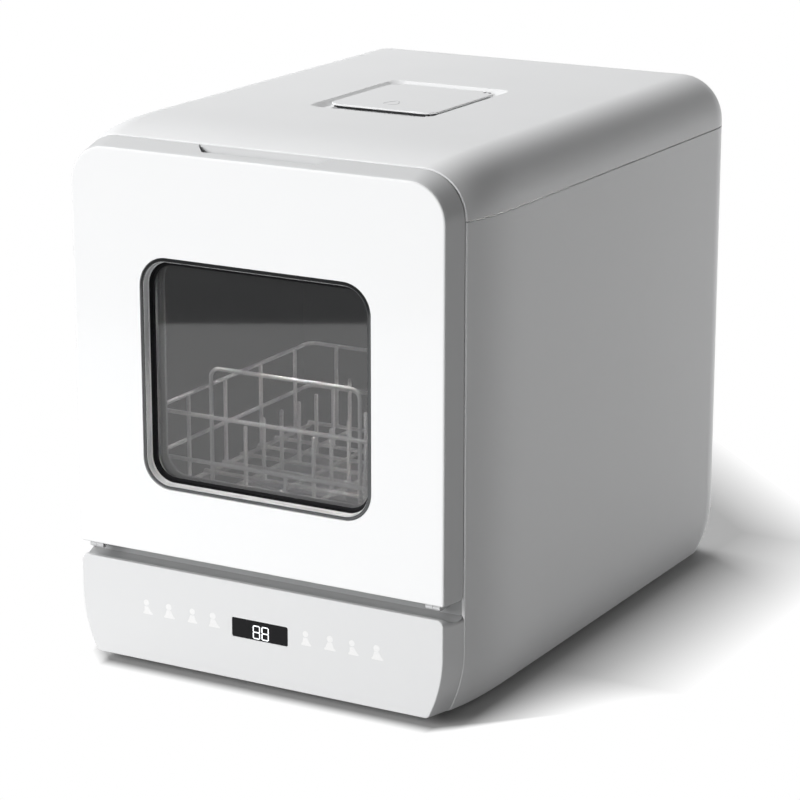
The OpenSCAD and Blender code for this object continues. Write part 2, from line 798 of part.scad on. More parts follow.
// Coil of round wire: rings of points along a helix, joined side to side.
module coil(r, wire, height, turns) {
    steps = 14 * turns;
    sides = 6;
    rings = [for (i = [0 : steps], j = [0 : sides - 1]) let (a = 360 * i / 14, b = 360 * j / sides)
        [(r + wire * cos(b)) * cos(a), (r + wire * cos(b)) * sin(a), height * i / steps + wire * sin(b)]];
    last = steps * sides;
    faces = concat(
        [for (i = [0 : steps - 1], j = [0 : sides - 1])
            let (a = i * sides + j, b = i * sides + (j + 1) % sides)
            each [[a, b, b + sides], [a, b + sides, a + sides]]],
        [[for (j = [sides - 1 : -1 : 0]) j]], [[for (j = [0 : sides - 1]) last + j]]);
    polyhedron(points = rings, faces = faces);
}

module latch_spring() color(steel) place()
    translate([0, door_d + 9.5, strike_z + 11.9]) coil(2.2, 0.35, 3.5, 4);

module door_switch() color("saddlebrown") place() {
    translate([18, tub_y + 0.05, strike_z - 4]) cube([12, 16, 8]);
    translate([20, door_d, strike_z - 1]) cube([3, tub_y + 0.1 - door_d, 2]);
}

// ---- Tub ----

module tub_shape(grow) {
    difference() {
        round_rect(-tub_half - grow, floor_z - 60, tub_half + grow, tub_top + grow, tub_r + grow);
        translate([-half_max, floor_z - 80]) square([body_w, 78]);
    }
}

module tub_wrapper() color(steel) place() difference() {
    upright(tub_y + 0.05, tub_d - 0.05) difference() {
        tub_shape(sheet);
        tub_shape(0);
        translate([-tub_half, 0]) square([2 * tub_half, floor_z + 40]);
    }
    // Window of the tub lamp
    translate([lamp_x - 14, lamp_y + 3, tub_top - 1]) cube([28, 6, sheet + 2]);
}

module tub_back_wall() color(steel) place() difference() {
    upright(tub_end + 0.02, sheet) tub_shape(sheet);
    // Drying vent
    for (i = [0 : 4]) upright(tub_end - 1, sheet + 3) translate([fan_x - 20, fan_z - 14 + i * 7])
        round_rect(0, 0, 40, 3, 1.4);
}

module tub_floor() color(grey) place() difference() {
    union() {
        translate([-tub_half + fit, tub_y + 0.1, floor_z - 2])
            cube([2 * tub_half - 2 * fit, tub_d - 0.2 - fit, 2]);
        // Sill in front, sloping down to the floor
        translate([-tub_half + fit, 0, 0]) rotate([90, 0, 90]) linear_extrude(2 * tub_half - 2 * fit)
            polygon([[tub_y + 0.1, floor_z - 1], [tub_y + 0.1, sill_z - 0.5], [tub_y + 4, sill_z - 0.5],
                     [tub_y + 14, floor_z], [tub_y + 14, floor_z - 1]]);
    }
    rod_z(sump_x, sump_y, floor_z - 5, floor_z + 1, sump_r);
    rod_z(0, hub_y, floor_z - 5, floor_z + 1, hub_r + 4 + fit);
}

module sump() color(dark) place() difference() {
    union() {
        rod_z(sump_x, sump_y, sump_bottom, floor_z - 2.3, sump_r + 3);
        // Outlets to the pumps
        rod_y(sump_x, sump_y, sump_y + sump_r + 14, sump_bottom + 14, 8);
        rod_x(sump_x - sump_r - 12, sump_x, sump_y, sump_bottom + 14, 11);
    }
    rod_z(sump_x, sump_y, sump_bottom + 3, floor_z, sump_r);
    rod_y(sump_x, sump_y, sump_y + sump_r + 16, sump_bottom + 14, 6);
    rod_x(sump_x - sump_r - 14, sump_x, sump_y, sump_bottom + 14, 9);
}

module filter_plate() color(steel) place() difference() {
    rod_z(sump_x, sump_y, floor_z + 0.05, floor_z + 1.2, sump_r + 5);
    rod_z(sump_x, sump_y, floor_z - 1, floor_z + 3, cup_r + 0.4);
    for (r = [cup_r + 6, cup_r + 12], a = [0 : 20 : 359]) translate([sump_x, sump_y, 0]) rotate([0, 0, a])
        rod_z(r, 0, floor_z - 1, floor_z + 3, 1.6);
}

module filter_cup() color(grey) place() difference() {
    union() {
        difference() {
            union() {
                rod_z(sump_x, sump_y, sump_bottom + 22, floor_z + 2, cup_r);
                // Rim on the filter plate
                rod_z(sump_x, sump_y, floor_z + 1.5, floor_z + 3, cup_r + 3);
            }
            rod_z(sump_x, sump_y, sump_bottom + 24, floor_z + 4, cup_r - 2);
            for (a = [0 : 30 : 179]) translate([sump_x, sump_y, 0]) rotate([0, 0, a])
                translate([-cup_r - 1, -1.5, floor_z - 24]) cube([2 * cup_r + 2, 3, 14]);
        }
        // Grip across the mouth
        translate([sump_x - cup_r + 1, sump_y - 2, floor_z - 4]) cube([2 * cup_r - 2, 4, 9]);
    }
}

module spray_hub() color(grey) place() difference() {
    union() {
        rod_z(0, hub_y, floor_z - 24, arm_z + 14, hub_r);
        rod_z(0, hub_y, floor_z - 24, floor_z + 3, hub_r + 4);
        rod_z(0, hub_y, floor_z - 24, floor_z - 2 - fit, hub_r + 12);
    }
    rod_z(0, hub_y, floor_z - 30, arm_z + 20, hub_r - 3);
}

module spray_arm() color(grey) place() translate([0, hub_y, 0]) {
    half = arm_l / 2;
    difference() {
        union() {
            rod_z(0, 0, arm_z - 4, arm_z + 16, hub_r + 6);
            for (s = [0, 180]) rotate([0, 0, s]) translate([0, 0, arm_z]) linear_extrude(8) hull() {
                translate([14, 0]) circle(14, $fn = 32);
                translate([half - 9, 0]) circle(9, $fn = 32);
            }
        }
        rod_z(0, 0, arm_z - 5, arm_z + 14 + 0.4, hub_r + 0.06);
        for (s = [0, 180]) rotate([0, 0, s]) for (x = [34, 58, 82, half - 12])
            translate([x, s == 0 ? 4 : -4, arm_z + 4]) rotate([s == 0 ? 20 : -20, 0, 0])
                cylinder(h = 12, r = 1.4);
    }
}

// ---- Pumps and water paths ----

pump_x = -92;
pump_y = hub_y + 62;
pump_z = sump_bottom + 14;
outlet_x = pump_x + 48;
outlet_z = pump_z - 22;
heater_y = 84;

module wash_pump() color(dark) place() {
    difference() {
        union() {
            // Volute, motor and connection to the sump
            rod_x(pump_x + 34, pump_x + 62, pump_y, pump_z, motor_r + 6);
            rod_x(pump_x - 40, pump_x + 34 + eps, pump_y, pump_z, motor_r);
            rod_x(pump_x + 62 - eps, sump_x - sump_r - 12 - fit, pump_y, sump_bottom + 14, 11);
            rod_y(outlet_x, pump_y - motor_r - 16, pump_y, outlet_z, 8);
        }
        rod_x(pump_x + 38, pump_x + 58, pump_y, pump_z, motor_r + 2);
        rod_x(pump_x + 30, pump_x + 39, pump_y, pump_z, 3.1);
        rod_x(pump_x + 57, sump_x, pump_y, sump_bottom + 14, 8);
        rod_y(outlet_x, pump_y - motor_r - 17, pump_y - 12, outlet_z, 5.5);
    }
    // Foot on the base tray
    translate([pump_x - 20, pump_y - 14, foot_h + wall]) cube([40, 28, pump_z - motor_r - foot_h - wall + 3]);
}

module impeller_x(x, y, z, r, t, shaft_r) {
    rod_x(x, x + 2, y, z, r);
    for (a = [0 : 60 : 359]) translate([x + 2 - eps, y, z]) rotate([a, 0, 0])
        translate([0, shaft_r, -1]) cube([t, r - shaft_r - 1, 2]);
    rod_x(x - 9, x + 2 + t, y, z, shaft_r);
}

module wash_impeller() color(light) place()
    impeller_x(pump_x + 40, pump_y, pump_z, motor_r - 2, 12, 3);

drain_x = 96;
drain_y = tub_end + 44;

module drain_pump() color(dark) place() {
    difference() {
        union() {
            rod_x(drain_x - 22, drain_x - 2, drain_y, drain_z, 24);
            rod_x(drain_x - 2 - eps, drain_x + 34, drain_y, drain_z, 19);
            // Inlet elbow from the sump, and the outlet
            rod_x(sump_x, drain_x - 22 + eps, drain_y, drain_z, 9);
            translate([sump_x, drain_y, drain_z]) sphere(9);
            rod_y(sump_x, drain_y - 14, drain_y, drain_z, 9);
            rod_y(drain_x - 12, drain_y, drain_y + 32, drain_z, 7.5);
        }
        rod_x(drain_x - 19, drain_x - 5, drain_y, drain_z, 21);
        rod_x(drain_x - 6, drain_x + 2, drain_y, drain_z, 2.1);
        rod_x(sump_x, drain_x - 18, drain_y, drain_z, 6);
        rod_y(sump_x, drain_y - 15, drain_y, drain_z, 6);
        rod_y(drain_x - 12, drain_y + 15, drain_y + 33, drain_z, 5);
    }
    translate([drain_x, drain_y - 12, foot_h + wall]) cube([26, 24, drain_z - 19 - foot_h - wall + 3]);
}

module drain_impeller() color(light) place()
    mirror([1, 0, 0]) impeller_x(-drain_x + 7, drain_y, drain_z, 18, 8, 2);

heater_end = pump_y - motor_r - 16 - fit;

module water_heater() color(steel) place() {
    // Flow-through heater in front of the wash pump, in its cradles
    difference() {
        union() {
            rod_y(outlet_x, heater_y, heater_end, outlet_z, 13);
            for (y = [heater_y + 12, heater_end - 18])
                translate([outlet_x - 15, y, foot_h + wall]) cube([30, 6, outlet_z - foot_h - wall]);
        }
        rod_y(outlet_x, heater_y - 1, heater_end + 1, outlet_z, 10);
    }
}

// A hose that follows its corner points, with round elbows.
module hose(points, r) {
    for (i = [0 : len(points) - 2]) let (a = points[i], b = points[i + 1], d = b - a)
        translate(a) rotate([0, d[2] != 0 ? (d[2] < 0 ? 180 : 0) : d[0] != 0 ? (d[0] < 0 ? -90 : 90) : 0, 0])
            rotate([d[1] != 0 ? (d[1] < 0 ? 90 : -90) : 0, 0, 0]) cylinder(h = norm(d), r = r);
    for (i = [1 : len(points) - 2]) translate(points[i]) sphere(r);
}

drain_turn = body_d - wall - drain_turn_gap;

module internal_hoses() color(black) place() {
    // From the heater up to the spray hub
    hose([[outlet_x, heater_y - fit, outlet_z], [outlet_x, heater_y - 14, outlet_z],
          [0, heater_y - 14, outlet_z], [0, hub_y, outlet_z], [0, hub_y, floor_z - 24 - fit]], 7);
    // From the sump to the drain pump
    hose([[sump_x, sump_y + sump_r + 14 + fit, drain_z], [sump_x, drain_y - 14 - fit, drain_z]], 8.5);
    // From the drain pump to the drain spigot
    hose([[drain_x - 12, drain_y + 32 + fit, drain_z], [drain_x - 12, drain_turn, drain_z],
          [spigot_x, drain_turn, drain_z], [spigot_x, body_d - wall - 14 - fit, drain_z]], 7);
    // From the inlet spigot up to the tank
    hose([[spigot_x, body_d - wall - 14 - fit, supply_z], [spigot_x, tank_y + tank_d - 14, supply_z],
          [spigot_x, tank_y + tank_d - 14, tank_z - fit]], 5);
}

module hose_spigot(z) {
    difference() {
        union() {
            rod_y(spigot_x, body_d - wall - 14, body_d + spigot_l, z, spigot_r);
            rod_y(spigot_x, body_d - wall - 4, body_d - wall - 0.3, z, spigot_r + 7);
            rod_y(spigot_x, body_d - wall - 4, body_d + 1, z, spigot_r + 3);
        }
        rod_y(spigot_x, body_d - wall - 20, body_d + spigot_l + 1, z, spigot_r - 2.5);
    }
}

module drain_port() color(black) place() hose_spigot(drain_z);

module inlet_port() color(white) place() hose_spigot(supply_z);

module power_gland() color(black) place() difference() {
    union() {
        rod_y(gland_x, body_d - wall - 12, body_d + 6, gland_z, 9);
        rod_y(gland_x, body_d - wall - 3.3, body_d - wall - 0.3, gland_z, 13);
    }
    rod_y(gland_x, body_d - wall - 14, body_d + 7, gland_z, 3.6);
}

// ---- Water tank, funnel and lid ----

neck_x = 0;
neck_y = tank_y + 22;

module water_tank() color(white) place() {
    difference() {
        translate([tank_x, tank_y, tank_z]) cube([tank_w, tank_d, tank_top - tank_z]);
        translate([tank_x + 2.5, tank_y + 2.5, tank_z + 2.5])
            cube([tank_w - 5, tank_d - 5, tank_top - tank_z - 5]);
        rod_z(neck_x, neck_y, tank_top - 10, tank_top + 1, 9.4);
    }
}

funnel_z = tank_top + fit;
funnel_front = lid_front + 8;
funnel_back = neck_y + 14;

module fill_funnel() color(white) place() difference() {
    union() {
        translate([-42, funnel_front, funnel_z])
            cube([84, funnel_back - funnel_front, ledge_z - ledge_t - fit - funnel_z]);
        rod_z(neck_x, neck_y, tank_top - 8, funnel_z + eps, 9);
    }
    translate([-40, funnel_front + 2, funnel_z + 2]) cube([80, funnel_back - funnel_front - 4, 40]);
    rod_z(neck_x, neck_y, tank_top - 10, funnel_z + 3, 7.5);
}

module inlet_lid() color(white) place() difference() {
    union() {
        translate([0, 0, lid_top - lid_t]) linear_extrude(lid_t) difference() {
            round_rect(-lid_half, lid_front, lid_half, lid_pin_y, 12);
            both_sides() translate([lid_ear_x - 0.2, lid_pin_y - 6.8]) square([12, 10]);
        }
        rod_x(-lid_ear_x + 0.4, lid_ear_x - 0.4, lid_pin_y, lid_pin_z, lid_barrel_r);
        // Seal rib over the funnel
        translate([0, 0, lid_top - lid_t - 2.5]) linear_extrude(2.6) difference() {
            round_rect(15 - lid_half, lid_front + 14, lid_half - 15, lid_pin_y - 12, 6);
            round_rect(17 - lid_half, lid_front + 16, lid_half - 17, lid_pin_y - 14, 4);
        }
    }
    rod_x(-lid_ear_x, lid_ear_x, lid_pin_y, lid_pin_z, lid_pin_r + pin_play);
}

module lid_pin() color(steel) place() rod_x(-lid_ear_x - 3, lid_ear_x + 3, lid_pin_y, lid_pin_z, lid_pin_r);

// ---- Fan, lamp and rack ----

module fan_housing() color(dark) place() {
    back = body_d - wall - fit;
    difference() {
        union() {
            upright(fan_y, back - fan_y)
                round_rect(fan_x - fan_r - 4, fan_z - fan_r - 4, fan_x + fan_r + 4, fan_z + fan_r + 4, 6);
            // Duct from the tub's vent
            upright(duct_y, fan_y - duct_y + eps)
                round_rect(fan_x - duct_half, fan_z - 19, fan_x + duct_half, fan_z + 19, 3);
        }
        rod_y(fan_x, fan_y + 2.5, back + 1, fan_z, fan_r);
        upright(duct_y - 1, fan_y - duct_y + 5)
            round_rect(fan_x - duct_half + 2, fan_z - 17, fan_x + duct_half - 2, fan_z + 17, 2);
    }
    // Motor and its bearer in the middle of the air way
    difference() {
        union() {
            rod_y(fan_x, fan_y + 22.5, fan_y + 36, fan_z, 13);
            rod_y(fan_x, fan_y + 9, fan_y + 23, fan_z, 2);
            for (a = [45 : 90 : 359]) translate([fan_x, fan_y + 28, fan_z]) rotate([0, a, 0])
                translate([11, 0, -1.5]) cube([fan_r - 10.5, 6, 3]);
        }
    }
}

module fan_rotor() color(black) place() difference() {
    union() {
        rod_y(fan_x, fan_y + 7, fan_y + 22, fan_z, 12);
        for (a = [0 : 45 : 359]) translate([fan_x, fan_y + 14.5, fan_z]) rotate([0, a, 0])
            translate([9, 0, 0]) rotate([35, 0, 0]) translate([0, -1, -5]) cube([fan_r - 13, 2, 10]);
    }
    rod_y(fan_x, fan_y + 8.5, fan_y + 23, fan_z, 2 + pin_play);
}

module tub_lamp() color("ivory") place() {
    translate([lamp_x - 18, lamp_y, tub_top + sheet + 0.05]) cube([36, 12, 5]);
    translate([lamp_x - 13.7, lamp_y + 3.3, tub_top + 0.2]) cube([27.4, 5.4, sheet]);
}

module rack_rails() color(grey) place() both_sides()
    translate([tub_half - 9, plug_y + 5, rack_z - 11]) cube([9 - 0.02, tub_end - 12 - plug_y - 5, 4]);

module rack_glides() color(light) place() both_sides()
    for (y = [rack_y + 44, rack_end - 26]) translate([rack_half - 3, y - 9, rack_z - 6.7]) difference() {
        cube([tub_half - rack_half - 2, 18, 6.7 + wire_r]);
        translate([-1, -1, 6.7 - wire_r - 0.05]) cube([3 + 2.2 * wire_r, 20, 10]);
    }

// Depth of the grid's cross wire i.
function cross_y(i) = rack_y + rack_toe + 2 + i * (rack_end - rack_y - rack_toe - 4) / cross_n;

rails = [rack_z + rail_low, rack_z + rail_h];
stand_z = rack_z + weld + wire_r + weld_gap;

module rack_base() color(steel) place() {
    // Frame wires, then cross wires welded on top of them
    for (s = [-1, 1]) rod_y(s * rack_half, rack_y + rack_toe, rack_end, rack_z, wire_r);
    for (i = [0 : cross_n]) rod_x(-rack_half - 1, rack_half + 1, cross_y(i), rack_z + weld, wire_r);
    for (i = [-2 : 2]) rod_y(i * rack_half / 3, rack_y + rack_toe, rack_end, rack_z, wire_r);
}

// A rail along x at depth y whose ends bend round to the side walls.
module bent_rail(y, z, back) {
    rod_x(-rack_half + bend_r, rack_half - bend_r, y, z, wire_r);
    for (s = [-1, 1]) translate([s * (rack_half - bend_r), y - back * bend_r, z])
        rotate([0, 0, back > 0 ? (s > 0 ? 0 : 90) : (s > 0 ? 270 : 180)])
            rotate_extrude(angle = 90) translate([bend_r, 0]) circle(wire_r, $fn = 24);
}

module rack_front() color(steel) place() {
    y = rack_y + weld;
    low = rack_z + rack_lift;
    loop_top = rails[1] + loop_h;
    // Lower legs slope back to the grid's first cross wire
    dy = cross_y(0) - y;
    dz = low - rack_z - weld;
    leg = norm([dy, dz]) - wire_r - weld_gap;
    for (z = rails) bent_rail(rack_y, z, -1);
    for (x = [-rack_half + bend_r, -loop_half, 0, loop_half, rack_half - bend_r]) {
        rod_z(x, y, low, rails[0], wire_r);
        translate([x, y, low]) sphere(wire_r);
        translate([x, y, low]) rotate([180 + atan2(dy, dz), 0, 0]) cylinder(h = leg, r = wire_r);
    }
    // Raised loop
    for (s = [-1, 1]) {
        rod_z(s * loop_half, y, rails[0] - eps, loop_top - bend_r, wire_r);
        translate([s * (loop_half - bend_r), y, loop_top - bend_r]) rotate([90, s > 0 ? 0 : -90, 0])
            rotate_extrude(angle = 90) translate([bend_r, 0]) circle(wire_r, $fn = 24);
    }
    rod_x(-loop_half + bend_r, loop_half - bend_r, y, loop_top, wire_r);
}

module rack_side() {
    for (z = rails)
        rod_y(rack_half, rack_y + bend_r + weld_gap, rack_end - bend_r - weld_gap, z, wire_r);
    for (i = [1 : 2 : cross_n]) rod_z(rack_half - weld, cross_y(i), stand_z, rails[1], wire_r);
}

module rack_right_wall() color(steel) place() rack_side();

module rack_left_wall() color(steel) place() mirror([1, 0, 0]) rack_side();

module rack_back_wall() color(steel) place() {
    for (z = rails) bent_rail(rack_end, z, 1);
    for (i = [-2 : 2]) rod_z(i * rack_half / 2.6, rack_end - weld, stand_z, rails[1], wire_r);
}

module rack_tines() color(steel) place()
    for (x = [-64, 0, 48], i = [1 : cross_n - 1]) {
        rod_z(x, cross_y(i), stand_z, stand_z + 50, wire_r);
        translate([x, cross_y(i), stand_z + 50]) sphere(wire_r);
    }

module screws() color(steel) place() {
    for (x = [-1, 1], z = [foot_h + 24, seam_z - 20]) let (px = x * (rear_half - fit - 12)) {
        rod_y(px, body_d - wall - 8, body_d, z, 1.7);
        rod_y(px, body_d + 0.02, body_d + 1.6, z, 3.4);
    }
}

top_cover();
side_panel_left();
side_panel_right();
rear_cover();
base_tray();
feet();
front_frame();
control_fascia();
display_window();
control_board();
hinge_bracket_left();
hinge_bracket_right();
hinge_pins();
door_frame();
door_front_panel();
window_bezel();
window_glass();
inner_glass();
door_liner();
door_gasket();
door_hinge_arms();
door_strike();
latch_housing();
latch_plunger();
latch_spring();
door_switch();
tub_wrapper();
tub_back_wall();
tub_floor();
sump();
filter_plate();
filter_cup();
spray_hub();
spray_arm();
wash_pump();
wash_impeller();
drain_pump();
drain_impeller();
water_heater();
internal_hoses();
drain_port();
inlet_port();
power_gland();
water_tank();
fill_funnel();
inlet_lid();
lid_pin();
fan_housing();
fan_rotor();
tub_lamp();
rack_rails();
rack_base();
rack_front();
rack_left_wall();
rack_right_wall();
rack_back_wall();
rack_tines();
rack_glides();
screws();
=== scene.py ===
"""Countertop dishwasher: shells, door, fascia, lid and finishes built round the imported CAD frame."""

from __future__ import annotations

import logging
import math
from contextlib import contextmanager
from dataclasses import dataclass
from enum import Enum
from typing import Any, Callable, Iterator, Optional, Sequence

import bpy
from mathutils import Matrix, Vector

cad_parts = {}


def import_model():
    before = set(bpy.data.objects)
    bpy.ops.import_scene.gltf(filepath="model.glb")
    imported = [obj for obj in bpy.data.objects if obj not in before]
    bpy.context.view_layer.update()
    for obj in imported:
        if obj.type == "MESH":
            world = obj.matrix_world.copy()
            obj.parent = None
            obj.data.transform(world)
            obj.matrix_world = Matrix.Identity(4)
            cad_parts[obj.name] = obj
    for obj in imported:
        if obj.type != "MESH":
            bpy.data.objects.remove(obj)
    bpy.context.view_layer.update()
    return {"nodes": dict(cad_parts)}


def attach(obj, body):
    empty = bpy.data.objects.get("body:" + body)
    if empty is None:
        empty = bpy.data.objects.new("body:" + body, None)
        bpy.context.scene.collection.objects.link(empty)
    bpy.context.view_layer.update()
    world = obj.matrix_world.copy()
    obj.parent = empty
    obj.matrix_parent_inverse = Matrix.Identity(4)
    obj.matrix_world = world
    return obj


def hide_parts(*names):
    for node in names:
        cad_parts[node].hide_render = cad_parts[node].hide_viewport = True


LOG = logging.getLogger("dishwasher")
MM = 0.001  # one millimetre of the design in metres
HALF_DEPTH = 263.0  # from the door's face to the middle of the machine
COVE_SHADE_Y = -0.262  # painted shade darkens the fascia's cove behind this depth, in metres, and above this height
COVE_SHADE_Z = 0.082  # and above this height
WHITE = (1.0, 1.0, 1.0, 1.0)
Point = tuple[float, float, float]
Flat = tuple[float, float]
Piece = bpy.types.Object


# ---------------------------------------------------------------- shader maths


class Wire:
    """A node socket that can be used in Python expressions."""

    def __init__(self, graph: "Graph", socket: bpy.types.NodeSocket) -> None:
        """Keeps the graph and the output socket."""
        self.graph = graph
        self.socket = socket

    def _math(self, operation: str, other: Any, flip: bool = False) -> "Wire":
        """Adds a Math node; flip is True where the operand comes first."""
        values = (other, self) if flip else (self, other)
        return self.graph.wire("ShaderNodeMath", dict(enumerate(values)), operation=operation)

    def __add__(self, other: Any) -> "Wire":
        """Sum."""
        return self._math("ADD", other)

    def __radd__(self, other: Any) -> "Wire":
        """Sum with a number in front."""
        return self._math("ADD", other)

    def __sub__(self, other: Any) -> "Wire":
        """Difference."""
        return self._math("SUBTRACT", other)

    def __rsub__(self, other: Any) -> "Wire":
        """Difference from a number."""
        return self._math("SUBTRACT", other, flip=True)

    def __mul__(self, other: Any) -> "Wire":
        """Product."""
        return self._math("MULTIPLY", other)

    def __rmul__(self, other: Any) -> "Wire":
        """Product with a number in front."""
        return self._math("MULTIPLY", other)

    def clamp(self) -> "Wire":
        """The value held between 0 and 1."""
        return self._math("MINIMUM", 1.0)._math("MAXIMUM", 0.0)


class Graph:
    """The node tree of a material or of the world."""

    def __init__(self, owner: Any) -> None:
        """Starts an empty tree.

        Args:
            owner: The material or world that holds it.
        """
        self.owner = owner
        self.owner.use_nodes = True
        self.tree = self.owner.node_tree
        self.tree.nodes.clear()

    def node(self, kind: str, inputs: dict[Any, Any], **settings: Any) -> bpy.types.Node:
        """Adds one node.

        Args:
            kind: Node type.
            inputs: Values or wires by socket name or index.
            settings: Attributes set before the sockets.

        Returns:
            The new node.
        """
        made = self.tree.nodes.new(kind)
        for key, value in settings.items():
            setattr(made, key, value)
        for key, value in inputs.items():
            if isinstance(value, Wire):
                self.tree.links.new(value.socket, made.inputs[key])
            else:
                made.inputs[key].default_value = value
        return made

    def wire(
        self, kind: str, inputs: Optional[dict[Any, Any]] = None, output: Any = 0, **settings: Any
    ) -> Wire:
        """Adds one node and gives one of its outputs, by name or index."""
        return Wire(self, self.node(kind, inputs or {}, **settings).outputs[output])

    def place(self, scale: Point = (1.0, 1.0, 1.0)) -> Wire:
        """Object coordinates in metres, stretched along each axis."""
        source = self.wire("ShaderNodeTexCoord", output="Object")
        return self.wire("ShaderNodeMapping", {"Vector": source, "Scale": scale})

    def axes(self, place: Wire) -> list[Wire]:
        """The three parts of a place."""
        parts = self.node("ShaderNodeSeparateXYZ", {0: place})
        return [Wire(self, part) for part in parts.outputs]

    def noise(self, place: Wire, scale: float, detail: float = 2.0, rough: float = 0.5) -> Wire:
        """Noise from 0 to 1, by waves per metre, octaves and strength of the fine octaves."""
        inputs = {"Vector": place, "Scale": scale, "Detail": detail, "Roughness": rough}
        return self.wire("ShaderNodeTexNoise", inputs, "Fac")

    def blend(self, share: Wire, low: Sequence[float], high: Sequence[float]) -> Wire:
        """Mixes two colours: low where the share is 0, high where it is 1."""
        inputs = {0: share, 6: (*low[:3], 1.0), 7: (*high[:3], 1.0)}
        return self.wire("ShaderNodeMix", inputs, 2, data_type="RGBA")

    def bump(self, height: Wire, strength: float, depth: float) -> Wire:
        """Turns a height from 0 to 1 into a normal; the depth is in metres."""
        return self.wire("ShaderNodeBump", {"Height": height, "Strength": strength, "Distance": depth})

    def mixed(self, share: Wire, low: Wire, high: Wire) -> Wire:
        """Mixes two shaders: low where the share is 0, high where it is 1."""
        return self.wire("ShaderNodeMixShader", {0: share, 1: low, 2: high})


def shade(color: Sequence[float], factor: float) -> Point:
    """A linear colour with each channel multiplied by a factor."""
    return tuple(min(1.0, c * factor) for c in color[:3])


class Finish:
    """A finish that can be built as a material."""

    drawn = "DITHERED"  # how a viewer in real time draws its see-through parts

    def sockets(self, g: Graph) -> dict[str, Any]:
        """Values and wires of the Principled shader by socket name."""
        raise NotImplementedError

    def build(self, name: str) -> bpy.types.Material:
        """Makes the material.

        Args:
            name: Name of the material.

        Returns:
            The material.
        """
        g = Graph(bpy.data.materials.new(name))
        g.node("ShaderNodeOutputMaterial", {0: g.wire("ShaderNodeBsdfPrincipled", self.sockets(g))})
        g.owner.surface_render_method = self.drawn
        return g.owner


@dataclass(frozen=True)
class Plastic(Finish):
    """Moulded plastic with a fine eroded grain and faint flow clouds, and optional painted shade in the
    fascia's cove.
    """

    color: Point  # base colour
    rough: float = 0.4  # mean roughness
    grain: float = 0.00003  # depth of the moulded grain in metres
    coat: float = 0.0  # clear gloss on top
    cloud: float = 0.012  # strength of the slow colour change
    ior: float = 1.5  # refractive index, which sets the strength of the mirror
    cove: float = 0.0  # strength of the painted shade that darkens the inside of the fascia's cove

    def sockets(self, g: Graph) -> dict[str, Any]:
        """Works out the plastic's sockets.

        Args:
            g: The material's graph.

        Returns:
            Values and wires by socket name.
        """
        place = g.place()
        slow = g.noise(place, 14.0, 2.0)
        fine = g.noise(place, 2600.0, 3.0, 0.6)
        mid = g.noise(place, 420.0, 2.0)
        # Painted shade: the colour darkens inside the fascia's cove, where the door above casts its shadow.
        if self.cove:
            _, depth, height = g.axes(place)
            inside = ((depth - COVE_SHADE_Y) * 60.0).clamp() * ((height - COVE_SHADE_Z) * 400.0).clamp()
            share = (1.0 - inside * self.cove + (slow - 0.5) * self.cloud).clamp()
            base = g.blend(share, shade(self.color, 0.2), self.color)
        else:
            base = g.blend(slow, shade(self.color, 1.0 - self.cloud), shade(self.color, 1.0 + self.cloud))
        rough = (fine - 0.5) * 0.08 + (slow - 0.5) * 0.05 + self.rough
        return {
            "Base Color": base,
            "Roughness": rough.clamp(),
            "Coat Weight": self.coat,
            "Coat Roughness": 0.08,
            "IOR": self.ior,
            "Normal": g.bump(fine * 0.7 + mid * 0.3, 0.35, self.grain),
        }


@dataclass(frozen=True)
class Steel(Finish):
    """Sheet steel brushed along one axis."""

    color: Point = (0.62, 0.63, 0.65)  # base colour
    rough: float = 0.3  # mean roughness
    stretch: Point = (1.0, 1.0, 40.0)  # stretch of the brushing along each axis

    def sockets(self, g: Graph) -> dict[str, Any]:
        """Works out the steel's sockets.

        Args:
            g: The material's graph.

        Returns:
            Values and wires by socket name.
        """
        lines = g.noise(g.place(self.stretch), 60.0, 4.0, 0.7)
        marks = g.noise(g.place(), 22.0, 3.0, 0.55)
        base = g.blend(marks, shade(self.color, 0.9), shade(self.color, 1.06))
        rough = (lines - 0.5) * 0.22 + (marks - 0.5) * 0.12 + self.rough
        return {
            "Base Color": base,
            "Metallic": 1.0,
            "Roughness": rough.clamp(),
            "Normal": g.bump(lines, 0.25, 0.00004),
        }


@dataclass(frozen=True)
class Smoked(Finish):
    """Tinted pane with faint wiping marks."""

    color: Point = (0.03, 0.031, 0.032)  # tint
    density: float = 0.36  # how much the pane hides
    rough: float = 0.03  # roughness of the surface
    ior: float = 2.6  # strength of its mirror
    drawn = "BLENDED"

    def sockets(self, g: Graph) -> dict[str, Any]:
        """Works out the pane's sockets.

        Args:
            g: The material's graph.

        Returns:
            Values and wires by socket name.
        """
        wipe = g.noise(g.place((1.0, 1.0, 3.0)), 9.0, 4.0, 0.6)
        return {
            "Base Color": g.blend(wipe, shade(self.color, 0.8), shade(self.color, 1.4)),
            "Roughness": ((wipe - 0.5) * 0.02 + self.rough).clamp(),
            "Alpha": ((wipe - 0.5) * 0.02 + self.density).clamp(),
            "IOR": self.ior,
        }


@dataclass(frozen=True)
class Board(Finish):
    """Circuit board with copper tracks under the lacquer."""

    color: Point = (0.02, 0.11, 0.05)  # lacquer colour

    def sockets(self, g: Graph) -> dict[str, Any]:
        """Works out the board's sockets.

        Args:
            g: The material's graph.

        Returns:
            Values and wires by socket name.
        """
        inputs = {"Vector": g.place(), "Scale": 90.0, "Mortar Size": 0.06}
        mask = g.wire("ShaderNodeTexBrick", inputs, "Fac", offset=0.35)
        return {
            "Base Color": g.blend(mask, self.color, (0.05, 0.22, 0.09)),
            "Roughness": 0.35 + mask * 0.1,
            "Normal": g.bump(mask, 0.4, 0.00005),
        }


